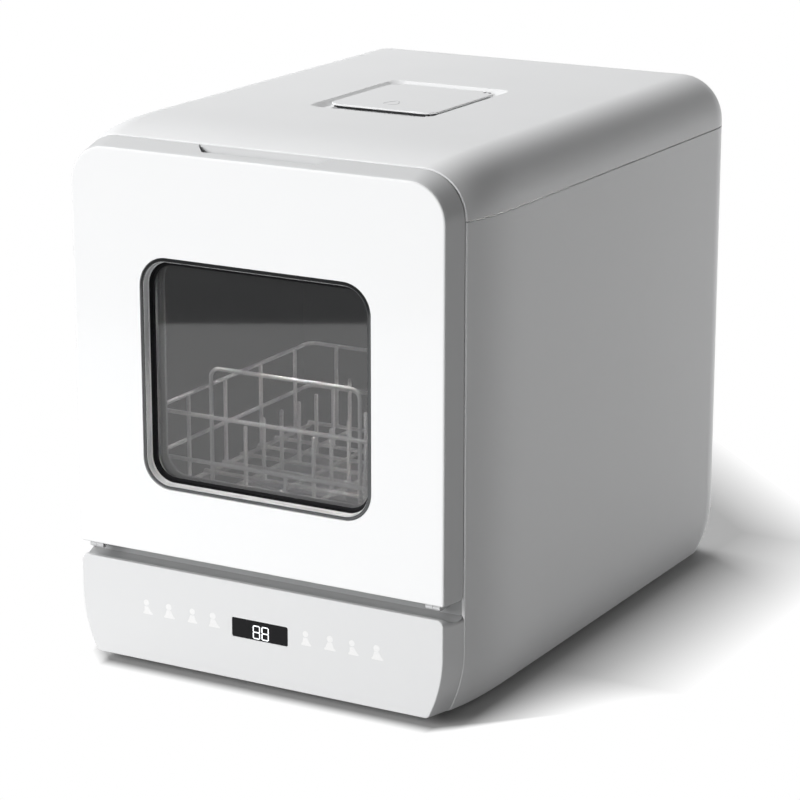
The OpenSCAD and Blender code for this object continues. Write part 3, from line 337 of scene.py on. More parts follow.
@dataclass(frozen=True)
class Lit(Finish):
    """A part that shines by itself."""

    color: Point  # colour of the light
    strength: float  # brightness

    def sockets(self, g: Graph) -> dict[str, Any]:
        """Works out the light's sockets.

        Args:
            g: The material's graph.

        Returns:
            Values and wires by socket name.
        """
        spread = g.noise(g.place(), 900.0, 2.0)
        return {
            "Base Color": g.blend(spread, shade(self.color, 0.85), self.color),
            "Roughness": 0.3,
            "Emission Color": g.blend(spread, shade(self.color, 0.94), self.color),
            "Emission Strength": self.strength,
        }


class Paint(Enum):
    """The finishes of the machine."""

    GLOSS_WHITE = Plastic((0.90, 0.905, 0.91), rough=0.2, grain=0.000004, coat=0.35, cloud=0.004)
    CASING = Plastic((0.80, 0.805, 0.81), rough=0.5, grain=0.00003)
    TRIM = Plastic((0.62, 0.625, 0.63), rough=0.36, grain=0.00002)
    # The fascia's colour is darkened in its cove: painted shade.
    FASCIA = Plastic((0.74, 0.745, 0.75), rough=0.3, grain=0.000008, coat=0.15, cove=0.7)
    LINER = Plastic((0.26, 0.263, 0.268), rough=0.34, grain=0.00002)
    TRAY = Plastic((0.42, 0.425, 0.43), rough=0.5)
    RING = Steel(color=(0.13, 0.132, 0.135), rough=0.2)
    REVEAL = Plastic((0.80, 0.805, 0.81), rough=0.18, grain=0.000004, coat=0.4)
    DARK = Plastic((0.035, 0.035, 0.038), rough=0.45)
    BLACK_GLOSS = Plastic((0.012, 0.012, 0.013), rough=0.12, grain=0.000002, ior=1.2)
    SUDS_GREY = Plastic((0.36, 0.37, 0.385), rough=0.35)
    WIRE = Plastic((0.82, 0.825, 0.83), rough=0.3, grain=0.00002, coat=0.2)
    RUBBER = Plastic((0.02, 0.02, 0.021), rough=0.7, grain=0.00006)
    TANK = Plastic((0.70, 0.73, 0.75), rough=0.25)
    STEEL = Steel()
    # Painted shade: the tub's steel is made nearly black so that the inside of the machine reads dark.
    TUB = Steel(color=(0.09, 0.092, 0.095), rough=0.42)
    SHADED_TUB_BACK = Steel(color=(0.09, 0.092, 0.095), stretch=(40.0, 1.0, 1.0), rough=0.4)
    PIN = Steel(color=(0.7, 0.7, 0.71), rough=0.2)
    WINDOW = Smoked()
    INNER_PANE = Smoked(color=(0.02, 0.021, 0.022), density=0.12, ior=1.5)
    BOARD = Board()
    FIGURE = Lit((0.95, 0.98, 1.0), 1.0)
    GLYPH = Lit((0.88, 0.88, 0.88), 0.05)
    LAMP = Lit((1.0, 0.98, 0.94), 1400.0)

    def material(self) -> bpy.types.Material:
        """The finish as a material, made once."""
        name = "finish_" + self.name.lower()
        return bpy.data.materials.get(name) or self.value.build(name)


# ---------------------------------------------------------------- modelling


class Bench:
    """Modelling steps shared by all pieces. Sizes are millimetres; y is the depth behind the door face."""

    @staticmethod
    def clear() -> None:
        """Deselects everything."""
        for other in list(bpy.context.selected_objects):
            other.select_set(False)

    @classmethod
    def only(cls, obj: Piece) -> None:
        """Selects one object alone and makes it active.

        Args:
            obj: The object.
        """
        cls.clear()
        obj.select_set(True)
        bpy.context.view_layer.objects.active = obj

    @classmethod
    @contextmanager
    def editing(cls, obj: Piece, part: str = "VERT", select: str = "SELECT") -> Iterator[None]:
        """Opens a mesh in edit mode.

        Args:
            obj: Object to edit.
            part: What is selected: VERT, EDGE or FACE.
            select: SELECT for all of it, DESELECT for nothing.

        Yields:
            Nothing; the mesh is in edit mode meanwhile.
        """
        cls.only(obj)
        bpy.ops.object.mode_set(mode="EDIT")
        bpy.ops.mesh.select_mode(type=part)
        bpy.ops.mesh.select_all(action=select)
        yield
        bpy.ops.object.mode_set(mode="OBJECT")

    @classmethod
    def weave(cls, name: str, rows: Sequence[Sequence[Point]], face_out: Optional[Point] = None) -> Piece:
        """Shapes a grid primitive over rows of points.

        Args:
            name: Name of the piece.
            rows: Equal rows of points; rows or columns that meet are merged.
            face_out: Direction that the first face looks in, for an open sheet.

        Returns:
            The piece.
        """
        cls.clear()
        across, along = len(rows[0]), len(rows)
        bpy.ops.mesh.primitive_grid_add(x_subdivisions=across - 1, y_subdivisions=along - 1, size=1.0)
        obj = bpy.context.active_object
        obj.name = name
        obj.data.name = name
        flat = [c for row in rows for x, y, z in row for c in (x * MM, (y - HALF_DEPTH) * MM, z * MM)]
        obj.data.vertices.foreach_set("co", flat)
        obj.data.update()
        with cls.editing(obj):
            bpy.ops.mesh.remove_doubles(threshold=1e-6)
            if face_out is None:
                bpy.ops.mesh.normals_make_consistent(inside=False)
        if face_out is not None and obj.data.polygons[0].normal.dot(Vector(face_out)) < 0:
            with cls.editing(obj):
                bpy.ops.mesh.flip_normals()
        return obj

    @classmethod
    def modify(cls, obj: Piece, kind: str, **settings: Any) -> None:
        """Adds a modifier and applies it.

        Args:
            obj: Object to change.
            kind: Modifier type.
            settings: Attributes of the modifier.
        """
        cls.only(obj)
        made = obj.modifiers.new(kind.lower(), kind)
        for key, value in settings.items():
            setattr(made, key, value)
        bpy.ops.object.modifier_apply(modifier=made.name)

    @classmethod
    def bevel(cls, obj: Piece, width: float, segments: int = 2, angle: float = 40.0) -> None:
        """Rounds the edges sharper than an angle in degrees; the width is in millimetres."""
        sizes = {"width": width * MM, "segments": segments, "angle_limit": math.radians(angle)}
        cls.modify(obj, "BEVEL", limit_method="ANGLE", use_clamp_overlap=True, **sizes)

    @classmethod
    def cut(cls, obj: Piece, cutter: Piece) -> None:
        """Cuts one piece with another, which is used up."""
        cls.modify(obj, "BOOLEAN", object=cutter, operation="DIFFERENCE", solver="EXACT")
        bpy.data.objects.remove(cutter, do_unlink=True)

    @classmethod
    def block(cls, name: str, low: Point, high: Point, round_edge: float = 0.0) -> Piece:
        """A block between two corners, with rounded edges.

        Args:
            name: Name of the piece.
            low: Low corner.
            high: High corner.
            round_edge: Radius of the edges.

        Returns:
            The piece.
        """
        cls.clear()
        bpy.ops.mesh.primitive_cube_add(size=1.0)
        obj = bpy.context.active_object
        obj.name = name
        for v in obj.data.vertices:
            side = [high[i] if v.co[i] > 0 else low[i] for i in range(3)]
            v.co = (side[0] * MM, (side[1] - HALF_DEPTH) * MM, side[2] * MM)
        if round_edge:
            cls.bevel(obj, round_edge, 3)
        return obj

    @classmethod
    def rod(cls, name: str, start: Point, end: Point, radius: float, sides: int = 32) -> Piece:
        """A round bar between two points.

        Args:
            name: Name of the piece.
            start: Middle of one end.
            end: Middle of the other end.
            radius: Radius.
            sides: Faces round it.

        Returns:
            The piece.
        """
        cls.clear()
        a = Vector((start[0], start[1] - HALF_DEPTH, start[2])) * MM
        b = Vector((end[0], end[1] - HALF_DEPTH, end[2])) * MM
        bpy.ops.mesh.primitive_cylinder_add(vertices=sides, radius=radius * MM, depth=(b - a).length)
        obj = bpy.context.active_object
        obj.name = name
        turn = Vector((0, 0, 1)).rotation_difference(b - a).to_matrix().to_4x4()
        obj.data.transform(Matrix.Translation((a + b) / 2) @ turn)
        return obj

    @classmethod
    def join(cls, name: str, parts: Sequence[Piece]) -> Piece:
        """Joins pieces into one object.

        Args:
            name: Name of the result.
            parts: Pieces to join.

        Returns:
            The joined object.
        """
        cls.only(parts[0])
        for part in parts:
            part.select_set(True)
        if len(parts) > 1:
            bpy.ops.object.join()
        parts[0].name = name
        parts[0].data.name = name
        return parts[0]

    @classmethod
    def capped(cls, name: str, rows: Sequence[Sequence[Point]]) -> Piece:
        """Closes a tube of loops at both ends.

        Args:
            name: Name of the piece.
            rows: Loops of the tube.

        Returns:
            The closed piece.
        """
        tube = cls.weave(name, rows, face_out=(0.0, -1.0, 0.0))
        with cls.editing(tube, "EDGE", "DESELECT"):
            bpy.ops.mesh.select_non_manifold()
            bpy.ops.mesh.edge_face_add()
            bpy.ops.mesh.select_all(action="SELECT")
            bpy.ops.mesh.normals_make_consistent(inside=False)
        return tube

    @classmethod
    def round_edges(
        cls, obj: Piece, width: float, segments: int, test: Callable[[Vector, Vector], bool]
    ) -> None:
        """Rounds chosen edges in edit mode.

        Args:
            obj: Object to change.
            width: Radius in millimetres.
            segments: Steps of the round.
            test: Tells from an edge's two ends, in metres, whether it is rounded.
        """
        points = obj.data.vertices
        with cls.editing(obj, "EDGE", "DESELECT"):
            bpy.ops.object.mode_set(mode="OBJECT")
            for edge in obj.data.edges:
                edge.select = test(points[edge.vertices[0]].co, points[edge.vertices[1]].co)
            bpy.ops.object.mode_set(mode="EDIT")
            bpy.ops.mesh.bevel(offset=width * MM, segments=segments, affect="EDGES", clamp_overlap=True)

    @classmethod
    def sink_face(cls, obj: Piece, way: Vector, border: float, drop: float) -> None:
        """Insets the faces that look one way and pushes them into the piece.

        Args:
            obj: Object to change.
            way: Direction that the faces look in.
            border: Width of the border that stays, in millimetres.
            drop: How deep the faces are sunk, in millimetres.
        """
        alike = 0.99
        with cls.editing(obj, "FACE", "DESELECT"):
            bpy.ops.object.mode_set(mode="OBJECT")
            for face in obj.data.polygons:
                face.select = face.normal.dot(way) > alike
            bpy.ops.object.mode_set(mode="EDIT")
            bpy.ops.mesh.inset(thickness=border * MM, use_even_offset=True)
            bpy.ops.mesh.extrude_region_move(TRANSFORM_OT_translate={"value": tuple(way * -drop * MM)})

    @classmethod
    def smooth(cls, obj: Piece, angle: float) -> None:
        """Shades smooth up to an angle, led by the large faces.

        Args:
            obj: Object to shade.
            angle: Sharper edges stay sharp, in degrees.
        """
        cls.only(obj)
        bpy.ops.object.shade_smooth_by_angle(angle=math.radians(angle))
        cls.modify(obj, "WEIGHTED_NORMAL", keep_sharp=True, weight=50)


def arc(cx: float, cz: float, r: float, a0: float, a1: float, steps: int) -> list[Flat]:
    """Points along a circular arc round (cx, cz), from a0 to a1 degrees, both ends included."""
    angles = [math.radians(a0 + (a1 - a0) * i / steps) for i in range(steps + 1)]
    return [(cx + r * math.cos(a), cz + r * math.sin(a)) for a in angles]


def rounded(
    x0: float, z0: float, x1: float, z1: float, radii: Sequence[float], steps: int = 12
) -> list[Flat]:
    """A closed rectangle with round corners.

    Args:
        x0: Left side.
        z0: Lower side.
        x1: Right side.
        z1: Upper side.
        radii: Radii of the lower right, upper right, upper left and lower left corners.
        steps: Steps of each corner.

    Returns:
        The points from the lower right corner round, the first one repeated at the end.
    """
    lr, ur, ul, ll = (max(r, 0.05) for r in radii)
    loop = arc(x1 - lr, z0 + lr, lr, -90, 0, steps)
    loop += arc(x1 - ur, z1 - ur, ur, 0, 90, steps)
    loop += arc(x0 + ul, z1 - ul, ul, 90, 180, steps)
    loop += arc(x0 + ll, z0 + ll, ll, 180, 270, steps)
    return loop + [loop[0]]


def upright(loop: Sequence[Flat], depth: float) -> list[Point]:
    """Lifts a front-view loop to a depth."""
    return [(x, depth, z) for x, z in loop]


def level(loop: Sequence[Flat], height: float) -> list[Point]:
    """Lifts a top-view loop to a height."""
    return [(x, y, height) for x, y in loop]


class Maker:
    """What the sub-assemblies share."""

    body = "housing"

    def finish(
        self,
        obj: Piece,
        paint: Paint,
        slot: str,
        replaces: Sequence[str] = (),
        body: Optional[str] = None,
        angle: float = 35.0,
    ) -> None:
        """Smooths a new piece, dresses it and ties it to the frame.

        Args:
            obj: The piece.
            paint: Its finish.
            slot: Material slot of the record; not used.
            replaces: CAD nodes that it stands for.
            body: CAD body that it rides on.
            angle: Edges sharper than this stay sharp, in degrees.
        """
        Bench.smooth(obj, angle)
        obj.data.materials.clear()
        obj.data.materials.append(paint.material())
        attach(obj, body or self.body)
        if replaces:
            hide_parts(*replaces)
        LOG.info("%s: %d faces on %s", obj.name, len(obj.data.polygons), body or self.body)


@dataclass
class Bellied(Maker):
    """A sub-assembly whose sides draw in on a curve towards the foot."""

    belly_in: float = 13.0  # inset of the sides at their lower edge
    belly_h: float = 52.0  # height of the curved lower part

    def drawn_in(self, half: float, drop: float, inset: float = 0.0) -> float:
        """Half width at a drop below the straight part, where it is half, on a surface or inset from it."""
        bend = (self.belly_in**2 + self.belly_h**2) / (2 * self.belly_in) - inset
        return half - bend + math.sqrt(bend * bend - drop**2)


# ---------------------------------------------------------------- casing


@dataclass(frozen=True)
class Section:
    """One upright cross-section of the casing's wall."""

    depth: float  # depth of the section
    half: float  # half of its width
    top: float  # height of its top
    crown: float  # radius of its upper corners
    inset: float  # distance inside the outer surface


@dataclass
class Casing(Bellied):
    """Top cover and side panels, lofted from the front edge to the rounded back."""

    half: float = 180.0  # half of the widest width
    top: float = 436.0  # height of the top
    foot: float = 8.0  # height of the lower edge
    front: float = 22.7  # depth of the front edge
    back: float = 508.0  # depth of the back
    wall: float = 2.5  # wall thickness
    crown: float = 37.0  # radius of the long upper corners
    front_in: float = 8.0  # how far each side narrows towards the door
    front_drop: float = 6.0  # how far the top drops towards the door
    swell: float = 90.0  # depth over which the casing narrows
    rear_r: float = 51.0  # radius of the rounded back edges
    rear_drop: float = 41.0  # drop of the top at the back
    rear_slim: float = 0.3  # share of rear_r that the upper corners' radius loses at the back
    seam_z: float = 393.0  # height of the top cover's lower edge
    seam_gap: float = 0.7  # width of the seam under it
    lip: float = 1.0  # radius of the front edge
    soft: float = 0.5  # radius of the seam's edges
    foot_round: float = 2.0  # radius of the sides' lower edge

    def section(self, run: float, turn: float, inset: float) -> Section:
        """Section at a place of the loft.

        Args:
            run: Depth before the back edge's round begins.
            turn: Angle round the back edge, in degrees.
            inset: Distance inside the outer surface.

        Returns:
            The section.
        """
        y = run - self.front
        narrow = 0.0 if y >= self.swell else (1.0 - y / self.swell) ** 3
        round_in = 1.0 - math.cos(math.radians(turn))
        return Section(
            depth=run + (self.rear_r - inset) * math.sin(math.radians(turn)),
            half=self.half - inset - self.front_in * narrow - (self.rear_r - inset) * round_in,
            top=self.top - inset - self.front_drop * narrow - (self.rear_drop - inset) * round_in,
            crown=self.crown - inset - self.rear_slim * self.rear_r * round_in,
            inset=inset,
        )

    def lap(self) -> list[tuple[Section, Section]]:
        """Sections once round the wall: front edge, outside to the back, inside to the front.

        Returns:
            Pairs of a section and the one in the middle of the wall beside it.
        """
        swell_steps, straight_steps, round_steps, lip_steps = 20, 4, 18, 5
        straight = self.back - self.rear_r
        end = self.front + self.swell
        start = self.front + self.lip
        runs = [start + (self.swell - self.lip) * i / swell_steps for i in range(1, swell_steps + 1)]
        runs += [end + (straight - end) * i / straight_steps for i in range(1, straight_steps)]
        walk = [(run, 0.0) for run in runs]
        walk += [(straight, 90.0 * i / round_steps) for i in range(round_steps + 1)]
        middle = self.wall / 2
        first = self.section(self.front, 0.0, middle)
        pairs = []
        for i in range(lip_steps + 1):
            a = math.radians(90.0 - 90.0 * i / lip_steps)
            run = self.front + self.lip * (1.0 - math.sin(a))
            pairs.append((self.section(run, 0.0, self.lip * (1.0 - math.cos(a))), first))
        for inset, way in ((0.0, 1), (self.wall, -1)):
            pairs += [(self.section(*at, inset), self.section(*at, middle)) for at in walk[::way]]
        return pairs + [(self.section(self.front, 0.0, self.wall), first), pairs[0]]

    def side_x(self, at: Section, z: float) -> float:
        """Half width of a section at a height.

        Args:
            at: The section.
            z: Height.

        Returns:
            The half width.
        """
        low = self.foot + self.belly_h
        centre = at.top - at.crown
        if z > centre:
            return at.half - at.crown + math.sqrt(max(0.0, at.crown**2 - (z - centre) ** 2))
        if z < low:
            return self.drawn_in(at.half, low - z, at.inset)
        return at.half

    def edge(self, at: Section, middle: Section, z: float, way: int) -> list[Point]:
        """Rounded seam edge of one section, from the middle of the wall to its surface.

        Args:
            at: The section.
            middle: The section in the middle of the wall.
            z: Height of the edge.
            way: 1 where the wall goes up from the edge, -1 where it goes down.

        Returns:
            The points of the right side.
        """
        out = 1.0 if at.inset < middle.inset else -1.0
        x = self.side_x(at, z + way * self.soft)
        points = [(self.side_x(middle, z), middle.depth, z)]
        for turn in map(math.radians, (0.0, 30.0, 60.0, 90.0)):
            tuck = out * self.soft * (1.0 - math.sin(turn))
            points.append((x - tuck, at.depth, z + way * self.soft * (1.0 - math.cos(turn))))
        return points

    def top_cover(self) -> None:
        """Models the top cover."""
        rows: list[list[Point]] = []
        crown_steps, highest = 18, 0.98
        for at, middle in self.lap():
            centre = at.top - at.crown
            flat = at.half - at.crown
            rise = (self.seam_z + self.soft + 0.1 - centre) / at.crown
            start = math.degrees(math.asin(min(highest, max(0.0, rise))))
            right = self.edge(at, middle, self.seam_z, 1)
            right += upright(arc(flat, centre, at.crown, start, 90.0, crown_steps), at.depth)
            right += [(flat * k, at.depth, at.top) for k in (0.75, 0.5, 0.25)]
            rows.append(right + [(0.0, at.depth, at.top)] + [(-x, y, z) for x, y, z in reversed(right)])
        shell = Bench.weave("top_cover_shell", rows)
        Bench.cut(shell, InletTray().opening())
        self.finish(shell, Paint.CASING, "casing_white", ["top_cover"], angle=38.0)

    def side(self, sign: int) -> None:
        """Models one side panel.

        Args:
            sign: 1 for the right side, -1 for the left.
        """
        seam = self.seam_z - self.seam_gap
        low = self.foot + self.belly_h
        heel = self.foot + self.foot_round
        shoulder, shoulder_steps, flat_steps, belly_steps = 37.0, 12, 6, 16
        heights = [seam - shoulder * (i / shoulder_steps) ** 1.5 for i in range(1, shoulder_steps + 1)]
        bend = heights[-1]
        heights += [bend + (low - bend) * i / flat_steps for i in range(1, flat_steps + 1)]
        heights += [low + (heel - low) * i / belly_steps for i in range(1, belly_steps + 1)]
        rows = []
        for at, middle in self.lap():
            row = self.edge(at, middle, seam, -1)
            row += [(self.side_x(at, z), at.depth, z) for z in heights]
            x = self.side_x(at, heel)
            for turn in map(math.radians, (30.0, 60.0, 90.0)):
                drop = self.foot_round * math.sin(turn)
                tuck = 0.25 * drop + 0.8 * self.foot_round * (1.0 - math.cos(turn))
                outside = at.inset < middle.inset
                row.append((x - tuck if outside else self.side_x(at, heel - drop), at.depth, heel - drop))
            row.append((self.side_x(middle, self.foot), middle.depth, self.foot))
            rows.append([(sign * x, y, z) for x, y, z in row])
        hand = "right" if sign > 0 else "left"
        shell = Bench.weave("side_shell_" + hand, rows)
        self.finish(shell, Paint.CASING, "casing_white", ["side_panel_" + hand], angle=38.0)

    def build(self) -> None:
        """Models the casing."""
        self.top_cover()
        self.side(1)
        self.side(-1)
        InletTray().build()


@dataclass
class InletTray(Maker):
    """Recess in the top cover that carries the lid, with sloping borders and a finger scoop."""

    half: float = 56.0  # half of its width at the rim
    start: float = 173.0  # depth of its front rim
    end: float = 317.0  # depth of its back rim
    slope: float = 6.3  # width of the sloping border
    surface: float = 436.0  # height of the rim
    ledge: float = 432.5  # height of its floor
    skin: float = 1.6  # thickness of its floor
    margin: float = 1.2  # width of the flat rim that meets the top cover
    corner: float = 11.0  # corner radius at the rim
    corner_loss: float = -0.5  # how much smaller the corners are at the floor
    hole: float = 34.0  # half width of the opening over the funnel
    hole_front: float = 33.0  # how far the opening begins behind the front rim
    hole_back: float = 8.0  # how far it ends before the lid's pin
    scoop: float = 44.0  # half width of the finger scoop at the rim
    scoop_in: float = 4.0  # how much less that is at the scoop's floor
    scoop_rim: Flat = (4.0, 23.0)  # where the scoop begins and ends behind the front rim
    scoop_foot: Flat = (15.0, 25.0)  # the same at its floor
    scoop_r: float = 3.0  # corner radius of the scoop
    scoop_z: float = 424.2  # height of the scoop's floor
    ear: float = 38.5  # distance of the hinge ears from the middle
    ear_w: float = 3.0  # width of an ear
    slot: float = 4.0  # half of the pin slot's depth
    pin_y: float = 304.8  # depth of the lid's pin
    pin_z: float = 433.3  # height of the lid's pin
    shadow_strip_back: float = 25.6  # how far the back of the dark strip that paints shade under the lid lies behind the front rim

    def loop(self, share: float, grow: float) -> list[Flat]:
        """Outline of the recess.

        Args:
            share: 0 at the rim, 1 at the foot of the sloping border.
            grow: Growth in millimetres.

        Returns:
            The closed loop.
        """
        move = self.slope * share - grow
        radius = [self.corner - self.corner_loss * share + grow] * 4
        return rounded(-self.half + move, self.start + move, self.half - move, self.end - move, radius, 14)

    def opening(self) -> Piece:
        """The cutter that opens the top cover round the tray."""
        rim = self.loop(0.0, self.margin)
        return Bench.capped("tray_cutter", [level(rim, self.surface + rise) for rise in (-10.0, 4.0)])

    def scoop_solid(self, name: str, grow: float, top: float) -> Piece:
        """A wedge in the shape of the finger scoop.

        Args:
            name: Name of the piece.
            grow: Growth in millimetres.
            top: Height of its upper face.

        Returns:
            The closed piece.
        """
        rows = []
        radii = [self.scoop_r + grow] * 4
        for half, (near, far), z in (
            (self.scoop, self.scoop_rim, top),
            (self.scoop - self.scoop_in, self.scoop_foot, self.scoop_z - grow),
        ):
            front, back = self.start + near - grow, self.start + far + grow
            rows.append(level(rounded(-half - grow, front, half + grow, back, radii), z))
        return Bench.capped(name, rows)

    def build(self) -> None:
        """Models the tray."""
        under = self.ledge - self.skin
        rim, floor = self.surface, self.ledge
        profile = [(0.0, self.margin, rim - 2.4), (0.0, self.margin, rim), (0.0, 0.4, rim)]
        profile += [(0.0, 0.12, rim - 0.04), (0.02, 0.0, rim - 0.16), (0.98, 0.0, floor + 0.06)]
        profile.append((1.0, -0.3, floor))
        front, back = self.start + self.hole_front, self.pin_y - self.hole_back
        funnel = rounded(-self.hole, front, self.hole, back, [3.0] * 4, 14)
        rows = [level(self.loop(share, grow), z) for share, grow, z in profile]
        rows += [level(funnel, floor), level(funnel, under), level(self.loop(1.0, self.margin), under)]
        tray = Bench.weave("inlet_tray", [*rows, rows[0]])
        Bench.cut(tray, self.scoop_solid("scoop_cutter", 0.0, rim + 1.0))
        near, far = self.pin_y - self.slot, self.pin_y + self.slot
        Bench.cut(tray, Bench.block("slot", (-self.ear, near, under - 2.0), (self.ear, far, rim)))
        cup = self.scoop_solid("scoop_cup", 1.6, under + 1.2)
        Bench.cut(cup, self.scoop_solid("hollow_cutter", 0.0, rim + 1.0))
        ears = []
        for low in (-self.ear - self.ear_w, self.ear):
            corner = (low + self.ear_w, self.pin_y + 2.7, self.pin_z + 1.6)
            ears.append(Bench.block("ear", (low, near, under + 0.5), corner, 0.7))
        tray = Bench.join("inlet_tray", [tray, cup, *ears])
        self.finish(tray, Paint.CASING, "casing_white")
        self.shadow_strip()

    def shadow_strip(self) -> None:
        """Models the dark strip under the lid's front edge, behind the finger scoop, which paints the gap
        there black as shade.
        """
        back = self.start + self.shadow_strip_back
        low, high = self.ledge - 0.9, self.ledge + 1.1
        # Painted shade: a black rubber strip makes the gap under the lid's front edge read as deep shadow.
        strip = Bench.block("scoop_shadow_strip", (-self.scoop, back - 2.2, low), (self.scoop, back, high), 0.4)
        self.finish(strip, Paint.RUBBER, "casing_white")


@dataclass
class InletLid(Maker):
    """Lid of the water inlet, with its barrel, seal rib and a faint drop mark."""

    half: float = 49.5  # half of its width
    start: float = 194.0  # depth of its front edge
    pin_y: float = 304.8  # depth of its hinge
    pin_z: float = 433.3  # height of its hinge
    top: float = 435.5  # height of its upper face
    thick: float = 1.6  # thickness of the plate
    corner: float = 12.0  # corner radius
    barrel: float = 2.2  # radius of the hinge barrel
    soft: float = 0.75  # radius of the plate's edges
    notch: float = 38.3  # distance of the rear corners' notches from the middle
    notch_d: float = 6.8  # depth of the notches before the hinge
    rib_h: float = 2.5  # height of the seal rib
    body = "lid"

    def plate(self) -> Piece:
        """Models the plate: a block with rounded corners and a soft upper edge.

        Returns:
            The plate.
        """
        base = self.top - self.thick
        plate = Bench.block("lid_plate", (-self.half, self.start, base), (self.half, self.pin_y, self.top))
        Bench.round_edges(plate, self.corner, 14, lambda a, b: abs(a.z - b.z) > self.thick * 0.5 * MM)
        Bench.round_edges(plate, self.soft, 5, lambda a, b: min(a.z, b.z) > (self.top - 0.1) * MM)
        Bench.round_edges(plate, self.soft, 3, lambda a, b: max(a.z, b.z) < (base + 0.1) * MM)
        for side in (-1, 1):
            x0, x1 = sorted((side * self.notch, side * (self.half + 4.0)))
            low, high = (x0, self.pin_y - self.notch_d, base - 1.0), (x1, self.pin_y + 3.0, self.top + 1.0)
            Bench.cut(plate, Bench.block("notch", low, high))
        return plate

    def rib(self) -> Piece:
        """Models the seal rib: a frame drawn out of a rounded block.

        Returns:
            The rib.
        """
        base = self.top - self.thick + 0.1
        wide, front, back = self.half - 15.0, self.start + 14.0, self.pin_y - 12.0
        rib = Bench.block("lid_rib", (-wide, front, base - self.rib_h), (wide, back, base))
        Bench.round_edges(rib, 6.0, 8, lambda a, b: abs(a.z - b.z) > self.rib_h * 0.5 * MM)
        Bench.sink_face(rib, Vector((0.0, 0.0, -1.0)), 2.0, self.rib_h - 0.3)
        return rib

    def build(self) -> None:
        """Models the lid."""
        reach = self.notch - 0.2
        ends = [(x, self.pin_y, self.pin_z) for x in (-reach, reach)]
        barrel = Bench.rod("barrel", *ends, self.barrel)
        Bench.bevel(barrel, 0.3, 2)
        lid = Bench.join("lid_plate", [self.plate(), barrel, self.rib()])
        self.finish(lid, Paint.CASING, "casing_white", ["inlet_lid"])
        self.mark()

    def mark(self) -> None:
        """Models the drop mark, a thin raised outline."""
        outer, inner = self.drop(6.6), self.drop(5.8)
        low, high = self.top - 0.05, self.top + 0.14
        rows = [level(outer, low), level(outer, high), level(inner, high), level(inner, low)]
        mark = Bench.weave("drop_mark", [*rows, rows[0]])
        self.finish(mark, Paint.TRIM, "casing_white")

    def drop(self, r: float) -> list[Flat]:
        """Outline of a drop that points to the back.

        Args:
            r: Radius of its round end.

        Returns:
            The closed loop.
        """
        cx, cy = -3.0, self.start + 24.0
        loop = []
        steps = 40
        for i in range(steps + 1):
            t = 2 * math.pi * i / steps
            pull = max(0.0, math.cos(t)) ** 3
            loop.append((cx + r * math.sin(t) * (1 - 0.4 * pull), cy + r * math.cos(t) + r * 0.9 * pull))
        return loop


# ---------------------------------------------------------------- door


